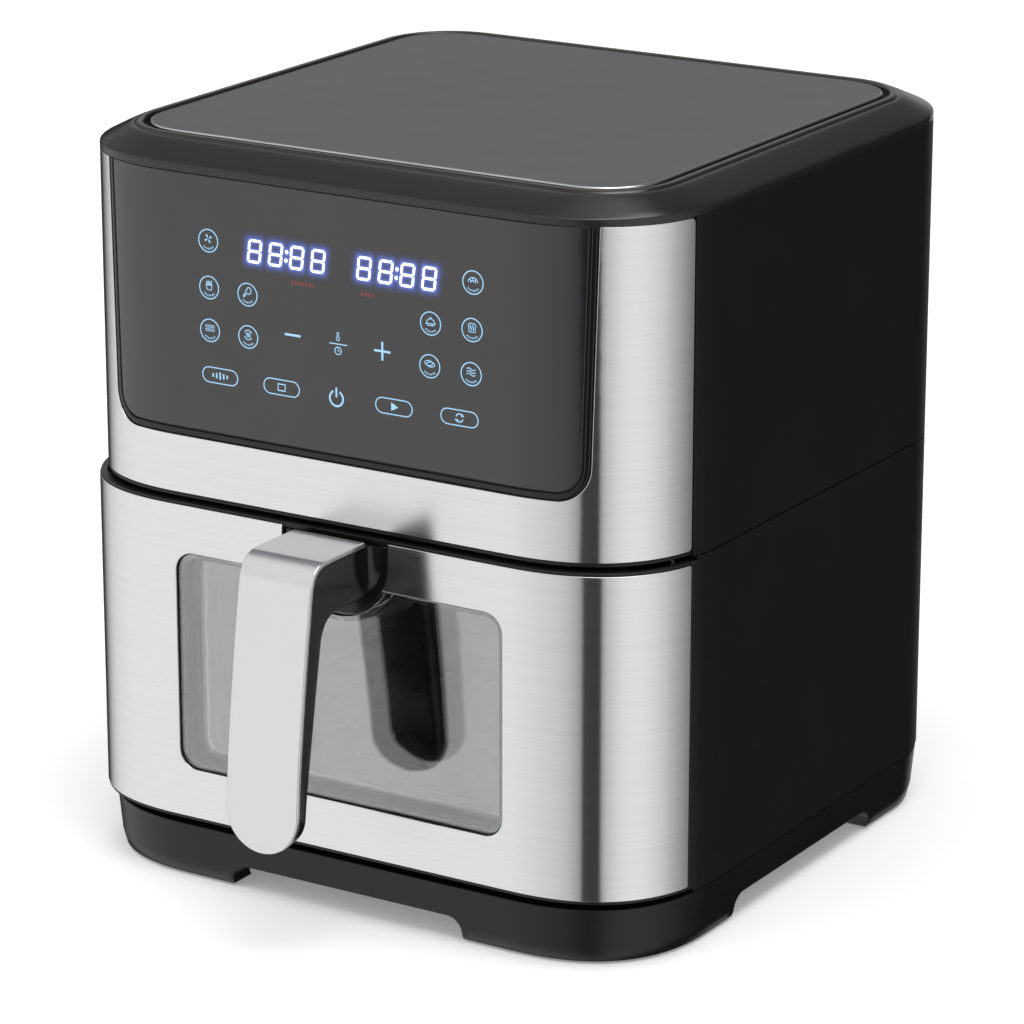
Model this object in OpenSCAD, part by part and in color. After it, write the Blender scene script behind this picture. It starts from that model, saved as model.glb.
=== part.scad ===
// Window-front air fryer: square rounded housing, lift-off lid plate look,
// pull-out drawer with a basket behind a double window, touch control panel.
// Millimetres, +Z up, the drawer front faces -Y. Origin at the centre of the
// footprint on the worktop.

/* [Body] */
// Width across the drawer front
body_w = 300; // [290:1:310]
// Depth from the drawer face to the back of the housing
body_d = 297; // [292:1:305]
// Plan corner radius of the housing
corner_r = 54.5; // [50:0.5:60]
// How far the housing sits inside the drawer front
side_inset = 2.75; // [2:0.25:3.5]
// Housing wall thickness
wall = 2.2; // [1.8:0.1:2.6]
// Height of the lid rim
lid_top = 329.5; // [326:0.5:336]
// Height of the lower edge of the lid
lid_bottom = 318; // [316:0.5:320]

/* [Base] */
// Top of the base on the sides
base_top = 25.7; // [24:0.1:26]
// Height of the arches between the feet
arch_h = 11; // [8:0.5:13]
// Half width of the front and rear arches
arch_half = 59; // [45:1:70]
// Half length of the side arches
side_arch_half = 62; // [45:1:70]
// Rubber pad radius
pad_r = 6; // [4:0.5:6]

/* [Drawer] */
// Lower edge of the steel drawer skin
skin_bottom = 31; // [31:0.5:33]
// Upper edge of the steel drawer skin
skin_top = 173; // [172.6:0.1:173]
// Where the wrapped sides of the drawer front end
wrap_end = 49.4; // [48.6:0.2:52]
// Window width
window_w = 165; // [150:1:166]
// Window lower edge
window_bottom = 53.3; // [53:0.1:60]
// Window upper edge
window_top = 152; // [148:0.1:152]
// Window corner radius
window_r = 9; // [7:0.5:11]
// Basket outside width
basket_w = 232; // [224:1:236]
// Basket outside depth
basket_d = 240; // [236:1:240]
// Crisper hole radius
crisper_hole_r = 4.5; // [3:0.5:6]

/* [Handle] */
// Handle width
handle_w = 36; // [32:1:40]
// Radius of the round mounting plate
mount_r = 26.7; // [25:0.1:27]

/* [Control panel] */
// Half width of the touch glass
glass_half = 114.9; // [112:0.1:115.5]
// Lower edge of the touch glass
glass_bottom = 207.1; // [206.5:0.1:210]
// Lower corner radius of the touch glass
glass_r = 11; // [8:0.5:14]
// Lower edge of the upper steel wrap
wrap_bottom = 177.6; // [177.4:0.1:178.5]

/* [Hot air unit] */
// Hot air fan radius
fan_r = 58; // [50:1:59]
// Inner ring of the heating element
coil_r1 = 66; // [65:0.5:70]
// Outer ring of the heating element
coil_r2 = 90; // [84:0.5:92]
// Heating tube radius
tube_r = 3.2; // [2.8:0.1:3.4]
// Motor shaft radius
shaft_r = 3; // [2.5:0.1:3.4]
// Cord gland bore radius
cord_r = 3.7; // [3:0.1:4.2]

/* [Hidden] */
$fn = 96;

handle_reach = 57.5;
gland_out = 2;
// The build coordinates put y = 0 at the drawer face.
y_shift = -(body_d + gland_out - handle_reach) / 2;
up_w = body_w - 2 * side_inset;
up_d = body_d - side_inset;
up_yc = side_inset + up_d / 2;
leg_t = 14;
leg_mid = corner_r - leg_t / 2;
corner_x = up_w / 2 - corner_r;
corner_yf = side_inset + corner_r;
corner_yb = body_d - corner_r;
s45 = sqrt(0.5);
fan_y = 146;
seam_z = 174.6;
pan_bottom = 34;
pan_rim = 166;
mount_z = 164.5;
screw_x = up_w / 2 - leg_t / 2;

steel_c = [0.80, 0.80, 0.81];
black_c = [0.07, 0.07, 0.075];
metal_c = [0.62, 0.63, 0.65];
silver_c = [0.74, 0.75, 0.77];
coat_c = [0.12, 0.12, 0.13];
clear_c = [0.75, 0.80, 0.82, 0.35];

// ---- helpers ----
module pl() { translate([0, y_shift, 0]) children(); }
module ext(z0, z1) { translate([0, 0, z0]) linear_extrude(z1 - z0) children(); }
// profile drawn in x, z and extruded from y0 to y1
module exty(y0, y1) { translate([0, y1, 0]) rotate([90, 0, 0]) linear_extrude(y1 - y0) children(); }
// profile drawn in y, z and extruded from x0 to x1
module extx(x0, x1) { translate([x0, 0, 0]) rotate([90, 0, 90]) linear_extrude(x1 - x0) children(); }
module box(a, b) { translate(a) cube([b[0] - a[0], b[1] - a[1], b[2] - a[2]]); }
module rr(w, d, r) {
  union() {
    square([w - 2 * r, d], center = true);
    square([w, d - 2 * r], center = true);
    for (sx = [-1, 1]) for (sy = [-1, 1]) translate([sx * (w / 2 - r), sy * (d / 2 - r)]) circle(r);
  }
}
// housing outline, inset by t
module outu(t) { translate([0, up_yc]) rr(up_w - 2 * t, up_d - 2 * t, corner_r - t); }
// drawer outline, inset by t
module outd(t) { translate([0, body_d / 2]) rr(body_w - 2 * t, body_d - 2 * t, corner_r + 2 - t); }
// window shape with the round notch for the handle plate, inset by i
module wshape(i) {
  difference() {
    translate([0, (window_bottom + window_top) / 2]) rr(window_w - 2 * i, window_top - window_bottom - 2 * i, window_r - i * 0.8);
    translate([0, mount_z]) circle(mount_r + 3 + i);
  }
}
// handle plate shape: half round below, straight above
module ushape(r, top) {
  union() {
    intersection() {
      translate([0, mount_z]) circle(r);
      translate([-r - 1, mount_z - r - 1]) square([2 * r + 2, r + 1.5]);
    }
    translate([-r, mount_z]) square([2 * r, top - mount_z]);
  }
}
// control panel outline, grown by g
module pshape(g) {
  hw = glass_half + g;
  r = glass_r + g;
  z0 = glass_bottom - g;
  union() {
    translate([-hw, z0 + r]) square([2 * hw, lid_bottom - 0.3 - z0 - r]);
    translate([-hw + r, z0]) square([2 * (hw - r), r + 1]);
    for (s = [-1, 1]) translate([s * (hw - r), z0 + r]) circle(r);
  }
}

// ---- housing ----
module base_shell() {
  color(black_c) pl() difference() {
    union() {
      ext(1, base_top - 2.5) difference() { outu(0); outu(leg_t); }
      ext(base_top - 2.5, base_top) outu(0);
    }
    exty(-5, body_d + 5) union() {
      translate([-arch_half, -6]) square([2 * arch_half, arch_h]);
      translate([-arch_half + 6, -6]) square([2 * arch_half - 12, arch_h + 6]);
      for (s = [-1, 1]) translate([s * (arch_half - 6), arch_h - 6]) circle(6);
    }
    extx(-body_w, body_w) union() {
      translate([up_yc - side_arch_half, -6]) square([2 * side_arch_half, arch_h]);
      translate([up_yc - side_arch_half + 6, -6]) square([2 * side_arch_half - 12, arch_h + 6]);
      for (s = [-1, 1]) translate([up_yc + s * (side_arch_half - 6), arch_h - 6]) circle(6);
    }
    for (s = [-1, 1]) {
      translate([s * (corner_x + leg_mid * s45), corner_yf - leg_mid * s45, 0]) cylinder(h = 3, r = pad_r + 0.15);
      translate([s * (corner_x + leg_mid * s45), corner_yb + leg_mid * s45, 0]) cylinder(h = 3, r = pad_r + 0.15);
      for (y = [74, 224]) {
        translate([s * screw_x, y, 0]) cylinder(h = 20.6, r = 4.5);
        translate([s * screw_x, y, 0]) cylinder(h = 40, r = 2);
      }
    }
  }
}
module rubber_feet() {
  color([0.10, 0.10, 0.10]) pl()
    for (s = [-1, 1]) {
      translate([s * (corner_x + leg_mid * s45), corner_yf - leg_mid * s45, 0]) cylinder(h = 3, r = pad_r);
      translate([s * (corner_x + leg_mid * s45), corner_yb + leg_mid * s45, 0]) cylinder(h = 3, r = pad_r);
    }
}
module housing_screws() {
  color(metal_c) pl()
    for (s = [-1, 1]) for (y = [74, 224]) translate([s * screw_x, y, 0]) union() {
      difference() {
        translate([0, 0, 17.8]) cylinder(h = 2.8, r = 3.8);
        translate([-2.6, -0.4, 17]) cube([5.2, 0.8, 2]);
        translate([-0.4, -2.6, 17]) cube([0.8, 5.2, 2]);
      }
      translate([0, 0, 20.6]) cylinder(h = 17, r = 1.75);
    }
}
module housing_lower() {
  color(black_c) pl() difference() {
    union() {
      difference() {
        union() {
          ext(base_top, base_top + 1) outu(0.8);
          ext(base_top + 1, seam_z - 0.4) outu(0);
        }
        ext(base_top - 1, seam_z + 1) outu(wall);
        box([-body_w, -10, 0], [body_w, wrap_end + 2, 400]);
      }
      for (s = [-1, 1]) for (y = [74, 224]) translate([s * screw_x, y, base_top]) cylinder(h = 18, r = 5.5);
    }
    for (s = [-1, 1]) for (y = [74, 224]) translate([s * screw_x, y, base_top - 1]) cylinder(h = 16, r = 1.9);
    translate([62, body_d + 5, 62]) rotate([90, 0, 0]) cylinder(h = 20, r = 6.4);
  }
}
module housing_upper() {
  color(black_c) pl() difference() {
    union() {
      ext(seam_z, seam_z + 0.8) outu(0.8);
      ext(seam_z + 0.8, lid_bottom) outu(0);
    }
    ext(seam_z - 1, lid_bottom + 1) outu(wall);
    box([-body_w, -10, 0], [body_w, 48.2, 400]);
    box([-61, body_d - 20, 199], [61, body_d + 5, 261]);
  }
}
module rear_vent() {
  color([0.09, 0.09, 0.095]) pl() difference() {
    union() {
      box([-60.6, body_d - wall, 199.4], [60.6, body_d - 0.5, 260.6]);
      box([-66, body_d - wall - 2, 194], [66, body_d - wall, 266]);
    }
    for (s = [-1, 1]) for (i = [0:8])
      box([s * 30 - 25, body_d - 10, 203.2 + i * 6], [s * 30 + 25, body_d + 5, 206.6 + i * 6]);
  }
}
module cord_gland() {
  color([0.08, 0.08, 0.08]) pl() translate([62, body_d + gland_out, 62]) rotate([90, 0, 0]) difference() {
    union() {
      cylinder(h = gland_out, r = 9);
      cylinder(h = 12, r = 6.1);
      translate([0, 0, gland_out + wall + 0.3]) cylinder(h = 2.5, r = 8.6);
    }
    translate([0, 0, -1]) cylinder(h = 20, r = cord_r);
  }
}
module cavity_liner() {
  lw = basket_w / 2 + 12;
  color(metal_c) pl() union() {
    difference() {
      ext(base_top, 186) translate([0, fan_y]) rr(2 * lw + 3, 263, 50);
      ext(27.5, 187) translate([0, fan_y]) rr(2 * lw, 260, 48.5);
      box([-200, 0, 27.5], [200, 60, 400]);
      box([-200, 0, 20], [200, 26, 400]);
    }
    for (s = [-1, 1]) box([s * 62 - 3, 60, 27], [s * 62 + 3, 230, pan_bottom - 0.2]);
  }
}
module chamber_deck() {
  color(metal_c) pl() difference() {
    ext(186, 187.5) outu(5);
    translate([0, fan_y, 180]) cylinder(h = 10, r = 104);
  }
}
module fan_shroud() {
  color(metal_c) pl() difference() {
    translate([0, fan_y, 0]) rotate_extrude() polygon([[104, 187.5], [118, 187.5], [118, 189], [112, 189], [112, 239.5], [6, 239.5], [6, 238], [110.5, 238], [110.5, 189], [104, 189]]);
    for (r = [coil_r1, coil_r2]) translate([r * cos(-30), fan_y + r * sin(-30), 230]) cylinder(h = 20, r = tube_r + 1.8);
    translate([-101, fan_y, 230]) cylinder(h = 20, r = 3.2);
  }
}
module heating_element() {
  // two rings, each ending in a sleeve that rises to its terminal, and a tie bar across both
  color([0.35, 0.33, 0.32]) pl() translate([0, fan_y, 203]) union() {
    for (r = [coil_r1, coil_r2]) {
      rotate_extrude(angle = 330) translate([r, 0]) circle(tube_r, $fn = 48);
      rotate([0, 0, -30]) translate([r, 0, -tube_r - 0.6]) cylinder(h = 48, r = tube_r + 0.4, $fn = 48);
    }
    translate([coil_r1 - 5, -4.6, -tube_r - 0.5]) cube([coil_r2 - coil_r1 + 10, 9.2, 2 * tube_r + 1]);
  }
}
module element_guard() {
  color(metal_c) pl() translate([0, fan_y, 196.2]) union() {
    for (r = [20, 40, 60, 80, 100]) rotate_extrude() translate([r, 0]) circle(1.2, $fn = 24);
    for (a = [0, 60, 120]) rotate([0, 0, a]) translate([-103, 0, 0]) rotate([0, 90, 0]) cylinder(h = 206, r = 1.25, $fn = 24);
    for (a = [0:60:300]) rotate([0, 0, a]) translate([101.5, -3, -0.8]) cube([8.95, 6, 1.6]);
  }
}
module temperature_sensor() {
  color([0.70, 0.70, 0.68]) pl() translate([-101, fan_y, 0]) union() {
    translate([0, 0, 201.5]) cylinder(h = 44.5, r = 2.5);
    translate([0, 0, 239.5]) cylinder(h = 3.5, r = 7, $fn = 6);
    translate([0, 0, 201.5]) sphere(2.5);
  }
}
module motor() {
  color([0.45, 0.45, 0.47]) pl() translate([0, fan_y, 0]) difference() {
    union() {
      translate([0, 0, 247]) cylinder(h = 9, r = 22);
      box([-30, -26, 253], [30, 26, 269]);
      translate([0, 0, 266]) cylinder(h = 11, r = 22);
      translate([0, 0, 277]) cylinder(h = 5, r = 9);
    }
    translate([0, 0, 240]) cylinder(h = 50, r = shaft_r + 0.05);
  }
}
module motor_bracket() {
  color(metal_c) pl() translate([0, fan_y, 0]) difference() {
    union() {
      box([-70, -14, 245], [70, 14, 247]);
      for (s = [-1, 1]) for (t = [-1, 1]) translate([s * 60, t * 8, 239.5]) cylinder(h = 6, r = 4);
    }
    translate([0, 0, 240]) cylinder(h = 20, r = 8);
  }
}
module drawer_switch() {
  color([0.85, 0.84, 0.80]) pl() union() {
    box([60, 12, 177], [80, 26, 186]);
    translate([70, 19, 175.4]) cylinder(h = 2, r = 1.5);
  }
}
module power_board() {
  color([0.10, 0.32, 0.18]) pl() union() {
    box([-55, body_d - 19, 196], [55, body_d - 17.4, 282]);
    box([-48, body_d - 33, 204], [-22, body_d - 19, 226]);
    box([-10, body_d - 32, 206], [8, body_d - 19, 220]);
    box([22, body_d - 32, 206], [44, body_d - 19, 222]);
    for (x = [-40, -24]) translate([x, body_d - 19, 250]) rotate([90, 0, 0]) cylinder(h = 12, r = 6);
    box([5, body_d - 27, 244], [40, body_d - 19, 256]);
    box([-50, body_d - 28, 270], [-30, body_d - 19, 278]);
    box([20, body_d - 28, 270], [48, body_d - 19, 278]);
  }
}
module control_board() {
  color([0.10, 0.32, 0.18]) pl() union() {
    box([-96, 14, 212], [96, 15.6, 304]);
    box([-12, 15.6, 240], [8, 18.2, 256]);
    box([34, 15.6, 232], [48, 18, 244]);
    box([-60, 15.6, 222], [-36, 21, 230]);
    for (s = [-1, 1]) for (z = [218, 298]) translate([s * 88, 14, z]) rotate([90, 0, 0]) cylinder(h = 4, r = 3);
  }
}
module display_modules() {
  color([0.92, 0.94, 0.98]) pl() union() {
    box([-49, 8, 279], [-1, 14, 299]);
    box([6, 8, 279], [53, 14, 299]);
  }
}
module upper_front_frame() {
  color(black_c) pl() difference() {
    union() {
      difference() {
        union() {
          ext(175.8, wrap_bottom - 0.1) outu(0);
          ext(wrap_bottom - 0.1, lid_bottom) outu(0.9);
        }
        ext(170, lid_bottom + 1) outu(3.6);
      }
      intersection() {
        ext(175.8, 177.4) outu(1);
        box([-200, 0, 170], [200, 10, 190]);
      }
    }
    box([-200, 47.6, 170], [200, 400, 400]);
    exty(-5, 40) pshape(3.9);
  }
}
module upper_steel_wrap() {
  color(steel_c) pl() difference() {
    ext(wrap_bottom, lid_bottom) outu(0);
    ext(wrap_bottom - 1, lid_bottom + 1) outu(0.8);
    box([-200, 47, 170], [200, 400, 400]);
    exty(-5, 40) pshape(3.9);
  }
}
module control_bezel() {
  color(black_c) pl() difference() {
    ext(200, lid_bottom - 0.3) outu(0.3);
    ext(199, lid_bottom + 1) outu(5);
    box([-200, 46.5, 170], [200, 400, 400]);
    difference() {
      box([-200, -5, 190], [200, 50, 400]);
      exty(-6, 51) pshape(3.7);
    }
    exty(-5, 50) pshape(0.2);
  }
}
module control_glass() {
  color([0.05, 0.055, 0.06]) pl() intersection() {
    difference() {
      ext(200, lid_bottom - 0.3) outu(0.5);
      ext(199, lid_bottom + 1) outu(3.5);
      box([-200, 46.5, 170], [200, 400, 400]);
    }
    exty(-6, 51) pshape(0);
  }
}
// ---- lid ----
module lid_profile() {
  polygon([[corner_r - 36, lid_bottom], [corner_r, lid_bottom], [corner_r, lid_bottom + 4], [corner_r - 2.2, lid_bottom + 7.2], [corner_r - 19.5, lid_top], [corner_r - 36, lid_top]]);
}
module top_cover() {
  sx = up_w / 2 - corner_r;
  sy = up_d / 2 - corner_r;
  color([0.14, 0.14, 0.145]) pl() difference() {
    translate([0, up_yc, 0]) union() {
      for (q = [[1, 1, 0], [-1, 1, 90], [-1, -1, 180], [1, -1, 270]])
        translate([q[0] * sx, q[1] * sy, 0]) rotate([0, 0, q[2]]) rotate_extrude(angle = 90) lid_profile();
      for (s = [0, 180]) rotate([0, 0, s]) {
        translate([sx, sy, 0]) rotate([90, 0, 0]) linear_extrude(2 * sy) lid_profile();
        translate([-sx, sy, 0]) rotate([90, 0, 90]) linear_extrude(2 * sx) lid_profile();
      }
      ext(lid_bottom, lid_top) rr(up_w - 56, up_d - 56, corner_r - 28);
    }
    ext(lid_bottom - 1, lid_bottom + 3.8) outu(3);
    ext(lid_top - 4, lid_top + 5) translate([0, 148.5]) rr(252.4, 243.4, 29);
  }
}
module top_plate() {
  color([0.22, 0.23, 0.23]) pl() ext(lid_top - 4, lid_top - 0.9) translate([0, 148.5]) rr(250.6, 241.6, 28);
}
// ---- rotor ----
module motor_shaft() {
  color(metal_c) pl() translate([0, fan_y, 203]) cylinder(h = 103, r = shaft_r);
}
module hot_air_fan() {
  color(metal_c) pl() translate([0, fan_y, 0]) difference() {
    union() {
      translate([0, 0, 211]) cylinder(h = 20, r = 9);
      translate([0, 0, 229]) cylinder(h = 1.2, r = fan_r);
      for (a = [0:40:320]) rotate([0, 0, a]) translate([6, -0.6, 212]) cube([fan_r - 8, 1.2, 17.4]);
    }
    translate([0, 0, 200]) cylinder(h = 40, r = shaft_r + 0.1);
  }
}
module fan_nut() {
  color(metal_c) pl() translate([0, fan_y, 205]) difference() {
    cylinder(h = 6, r = 6.4, $fn = 6);
    translate([0, 0, -1]) cylinder(h = 10, r = shaft_r + 0.1);
  }
}
module cooling_fan() {
  color([0.16, 0.16, 0.17]) pl() translate([0, fan_y, 0]) difference() {
    union() {
      translate([0, 0, 289]) cylinder(h = 14, r = 10);
      for (a = [0:40:320]) rotate([0, 0, a]) translate([7, 0, 296]) rotate([38, 0, 0]) translate([0, -0.7, -7]) cube([38, 1.4, 14]);
    }
    translate([0, 0, 280]) cylinder(h = 40, r = shaft_r + 0.1);
  }
}
// ---- drawer ----
module drawer_front_frame() {
  color(black_c) pl() difference() {
    union() {
      difference() {
        union() {
          ext(29.5, 174.4) outd(0.9);
          ext(29.5, skin_bottom - 0.1) outd(0.3);
          ext(skin_top + 0.1, 174.4) outd(0.3);
        }
        ext(20, 190) outd(3.6);
      }
      intersection() {
        union() {
          ext(29.5, 32) outd(2);
          ext(172, 174.4) outd(2);
        }
        box([-200, 0, 20], [200, 21, 190]);
      }
      for (s = [-1, 1]) for (z = [44, 159]) translate([s * 50, 26, z]) rotate([90, 0, 0]) cylinder(h = 24, r = 4.2);
    }
    box([-200, wrap_end + 0.6, 20], [200, 400, 190]);
    exty(-5, 26.5) wshape(0.2);
    exty(-5, 10) ushape(mount_r, 171.9);
    for (s = [-1, 1]) for (z = [44, 159]) translate([s * 50, 27, z]) rotate([90, 0, 0]) cylinder(h = 19, r = 2);
  }
}
module drawer_steel_skin() {
  color(steel_c) pl() difference() {
    ext(skin_bottom, skin_top) outd(0);
    ext(20, 190) outd(0.8);
    box([-200, wrap_end, 20], [200, 400, 190]);
    exty(-5, 20) translate([0, (window_bottom + window_top) / 2]) rr(window_w, window_top - window_bottom, window_r);
    exty(-5, 20) ushape(mount_r, 180);
  }
}
module window_outer() {
  color(clear_c) pl() difference() {
    exty(1.1, 3.7) wshape(0.5);
  }
}
module window_tunnel() {
  color(clear_c) pl() difference() {
    union() {
      exty(3.7, 22) wshape(0.6);
      exty(21.9, 25) wshape(1);
      exty(3.8, 5.4) intersection() {
        wshape(-2.4);
        translate([0, mount_z]) difference() { square([400, 400], center = true); circle(mount_r + 3.4); }
      }
    }
    exty(0, 30) wshape(3.2);
  }
}
module window_inner() {
  color(clear_c) pl() exty(9.6, 12.4) wshape(3.25);
}
module basket() {
  t = 1.6;
  color(coat_c) pl() difference() {
    union() {
      ext(pan_bottom, pan_rim) translate([0, fan_y]) rr(basket_w, basket_d, 45);
      ext(pan_rim - t, pan_rim) translate([0, fan_y]) rr(basket_w + 12, basket_d + 12, 51);
    }
    ext(pan_bottom + 2, pan_rim + 1) translate([0, fan_y]) rr(basket_w - 2 * t, basket_d - 2 * t, 45 - t);
    exty(10, 40) wshape(4.5);
    for (s = [-1, 1]) for (z = [44, 159]) translate([s * 50, 40, z]) rotate([90, 0, 0]) cylinder(h = 20, r = 2.2);
  }
}
module basket_screws() {
  color(metal_c) pl() for (s = [-1, 1]) for (z = [44, 159])
    translate([s * 50, fan_y - basket_d / 2 + 1.6, z]) rotate([90, 0, 0]) union() {
      translate([0, 0, -2.2]) cylinder(h = 2.2, r = 3.9);
      cylinder(h = 14, r = 1.8);
    }
}
module handle_mount() {
  color(black_c) pl() difference() {
    union() {
      exty(1.2, 3.8) ushape(mount_r - 0.4, 171.6);
      exty(3.7, 8) ushape(mount_r + 2.2, 171.6);
    }
    for (s = [-1, 1]) translate([s * 10, 20, 160]) rotate([90, 0, 0]) cylinder(h = 40, r = 2.15);
  }
}
module handle_side(o) {
  // side outline of the handle in y, z: outer line at o = 0, under the cover at o = 1
  polygon(o == 0 ?
    [[-3.5, 173.6], [-34.5, 173.6], [-39.5, 172], [-42.8, 168], [-44.4, 162.5], [-51.8, 114], [-56.5, 70], [-57.5, 49],
     [-55.3, 49], [-54.3, 70], [-49.6, 114], [-42.2, 162.9], [-40.9, 167], [-38.4, 170], [-34.3, 171.4], [-3.5, 171.4]] :
    [[1.2, 171.4], [-34.3, 171.4], [-38.4, 170], [-40.9, 167], [-42.2, 162.9], [-49.6, 114], [-54.3, 70], [-55.3, 49],
     [-48.6, 49], [-47.9, 65.5], [-44.6, 85], [-39.5, 117], [-36.2, 137], [-34.4, 141.8], [-31, 145.6], [-26.5, 147.6], [-20, 148.3],
     [-8, 148.3], [-3, 148], [0, 147.3], [1.2, 146.6]]);
}
module handle_front() {
  union() {
    translate([0, 49 + handle_w / 2]) circle(handle_w / 2);
    translate([-handle_w / 2, 49 + handle_w / 2]) square([handle_w, 130]);
  }
}
module handle_grip() {
  color(black_c) pl() difference() {
    intersection() {
      extx(-handle_w / 2, handle_w / 2) handle_side(1);
      exty(-70, 10) handle_front();
    }
    for (s = [-1, 1]) translate([s * 10, 10, 160]) rotate([90, 0, 0]) cylinder(h = 30, r = 2.15);
  }
}
module handle_cover() {
  color(silver_c) pl() intersection() {
    extx(-handle_w / 2, handle_w / 2) handle_side(0);
    exty(-70, 10) handle_front();
  }
}
module handle_screws() {
  color(metal_c) pl() for (s = [-1, 1]) translate([s * 10, 8, 160]) rotate([90, 0, 0]) union() {
    cylinder(h = 25, r = 2);
    translate([0, 0, -2.6]) cylinder(h = 2.6, r = 4);
  }
}
// ---- crisper plate ----
module crisper_plate() {
  cw = basket_w - 12;
  cd = basket_d - 12;
  color(coat_c) pl() difference() {
    ext(46, 50) translate([0, fan_y]) rr(cw, cd, 40);
    ext(45, 48) translate([0, fan_y]) rr(cw - 4, cd - 4, 38);
    for (i = [-3:3]) for (j = [-3:3]) translate([i * 27, fan_y + j * 27, 40]) cylinder(h = 20, r = crisper_hole_r, $fn = 32);
  }
}
module crisper_bumpers() {
  cx = basket_w / 2 - 6;
  color([0.16, 0.16, 0.17]) pl() for (s = [-1, 1]) for (t = [-1, 1]) translate([s * cx, fan_y + t * 58, 0]) mirror([s < 0 ? 1 : 0, 0, 0]) union() {
    box([-6, -8, 36.3], [3.8, 8, 46]);
    box([0, -8, 45], [3.8, 8, 52]);
  }
}

base_shell();
rubber_feet();
housing_screws();
housing_lower();
housing_upper();
rear_vent();
cord_gland();
cavity_liner();
chamber_deck();
fan_shroud();
heating_element();
element_guard();
temperature_sensor();
motor();
motor_bracket();
drawer_switch();
power_board();
control_board();
display_modules();
upper_front_frame();
upper_steel_wrap();
control_bezel();
control_glass();
top_cover();
top_plate();
motor_shaft();
hot_air_fan();
fan_nut();
cooling_fan();
drawer_front_frame();
drawer_steel_skin();
window_outer();
window_tunnel();
window_inner();
basket();
basket_screws();
handle_mount();
handle_grip();
handle_cover();
handle_screws();
crisper_plate();
crisper_bumpers();
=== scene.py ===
import math
import bpy
import bmesh
import numpy as np
from mathutils import Matrix, Vector, geometry


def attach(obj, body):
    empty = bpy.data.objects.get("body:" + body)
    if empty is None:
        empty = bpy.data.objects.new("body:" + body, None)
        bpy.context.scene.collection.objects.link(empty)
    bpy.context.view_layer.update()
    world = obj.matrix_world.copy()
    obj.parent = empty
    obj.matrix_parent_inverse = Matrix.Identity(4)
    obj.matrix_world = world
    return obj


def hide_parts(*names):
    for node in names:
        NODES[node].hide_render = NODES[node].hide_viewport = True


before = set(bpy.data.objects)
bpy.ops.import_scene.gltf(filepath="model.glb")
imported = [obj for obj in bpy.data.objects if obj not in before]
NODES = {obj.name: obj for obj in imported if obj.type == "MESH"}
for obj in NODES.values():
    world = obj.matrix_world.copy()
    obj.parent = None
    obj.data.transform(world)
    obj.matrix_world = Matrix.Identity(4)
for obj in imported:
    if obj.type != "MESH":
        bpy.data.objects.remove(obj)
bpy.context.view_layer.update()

YS = -0.12075            # row-frame Y of the drawer face, metres
scene = bpy.context.scene
root_col = scene.collection


# ------------------------------------------------------------------ helpers
def p3(x, y, z):
    """build millimetres (y = 0 at the drawer face) to row-frame metres"""
    return Vector((x * 1e-3, y * 1e-3 + YS, z * 1e-3))


def add_mesh(name, verts, faces, mat, normals=None, sharp=None, smooth=True):
    me = bpy.data.meshes.new(name)
    me.from_pydata([tuple(float(c) for c in v) for v in verts], [], [tuple(f) for f in faces])
    me.update()
    ob = bpy.data.objects.new(name, me)
    root_col.objects.link(ob)
    me.materials.append(mat)
    if smooth:
        me.polygons.foreach_set("use_smooth", [True] * len(me.polygons))
    if sharp is not None:
        bm = bmesh.new()
        bm.from_mesh(me)
        bmesh.ops.recalc_face_normals(bm, faces=bm.faces)
        lim = math.radians(sharp)
        for e in bm.edges:
            if len(e.link_faces) == 2 and e.calc_face_angle(0.0) > lim:
                e.smooth = False
        bm.to_mesh(me)
        bm.free()
    if normals is not None:
        me.normals_split_custom_set_from_vertices([tuple(n) for n in normals])
    return ob


def done(ob, body, slot, *nodes):
    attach(ob, body)
    if nodes:
        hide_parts(*nodes)
    return ob


# ------------------------------------------------------------------ 2D loops
def arc(cx, cy, r, a0, a1, n):
    return [(cx + r * math.cos(math.radians(a0 + (a1 - a0) * i / n)), cy + r * math.sin(math.radians(a0 + (a1 - a0) * i / n))) for i in range(n + 1)]


def rrect(x0, x1, y0, y1, r, n=10):
    """counter-clockwise rounded rectangle; r is one radius or (bottom-left, bottom-right, top-right, top-left)"""
    if not isinstance(r, (tuple, list)):
        r = (r, r, r, r)
    a, b, c, d = [max(0.05, v) for v in r]
    return (arc(x0 + a, y0 + a, a, 180, 270, n) + arc(x1 - b, y0 + b, b, 270, 360, n)
            + arc(x1 - c, y1 - c, c, 0, 90, n) + arc(x0 + d, y1 - d, d, 90, 180, n))


def densify(pts, step):
    out = []
    n = len(pts)
    for i in range(n):
        a = np.array(pts[i], float)
        b = np.array(pts[(i + 1) % n], float)
        L = np.linalg.norm(b - a)
        if L < 1e-6:
            continue
        k = max(1, int(math.ceil(L / step)))
        for j in range(k):
            out.append(tuple(a + (b - a) * j / k))
    return out


def area2(pts):
    a = np.array(pts)
    b = np.roll(a, -1, axis=0)
    return float(np.sum(a[:, 0] * b[:, 1] - b[:, 0] * a[:, 1]) / 2)


def left_normals(pts):
    a = np.array(pts, float)
    e = np.roll(a, -1, axis=0) - a
    e /= np.maximum(np.linalg.norm(e, axis=1, keepdims=True), 1e-9)
    n2 = np.column_stack([-e[:, 1], e[:, 0]])
    n1 = np.roll(n2, 1, axis=0)
    m = n1 + n2
    m /= np.maximum(np.linalg.norm(m, axis=1, keepdims=True), 1e-9)
    scale = 1 / np.maximum(0.45, np.sum(m * n1, axis=1))
    return m, scale


def offset(pts, d):
    m, s = left_normals(pts)
    return np.array(pts, float) + m * (d * s)[:, None]


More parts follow.
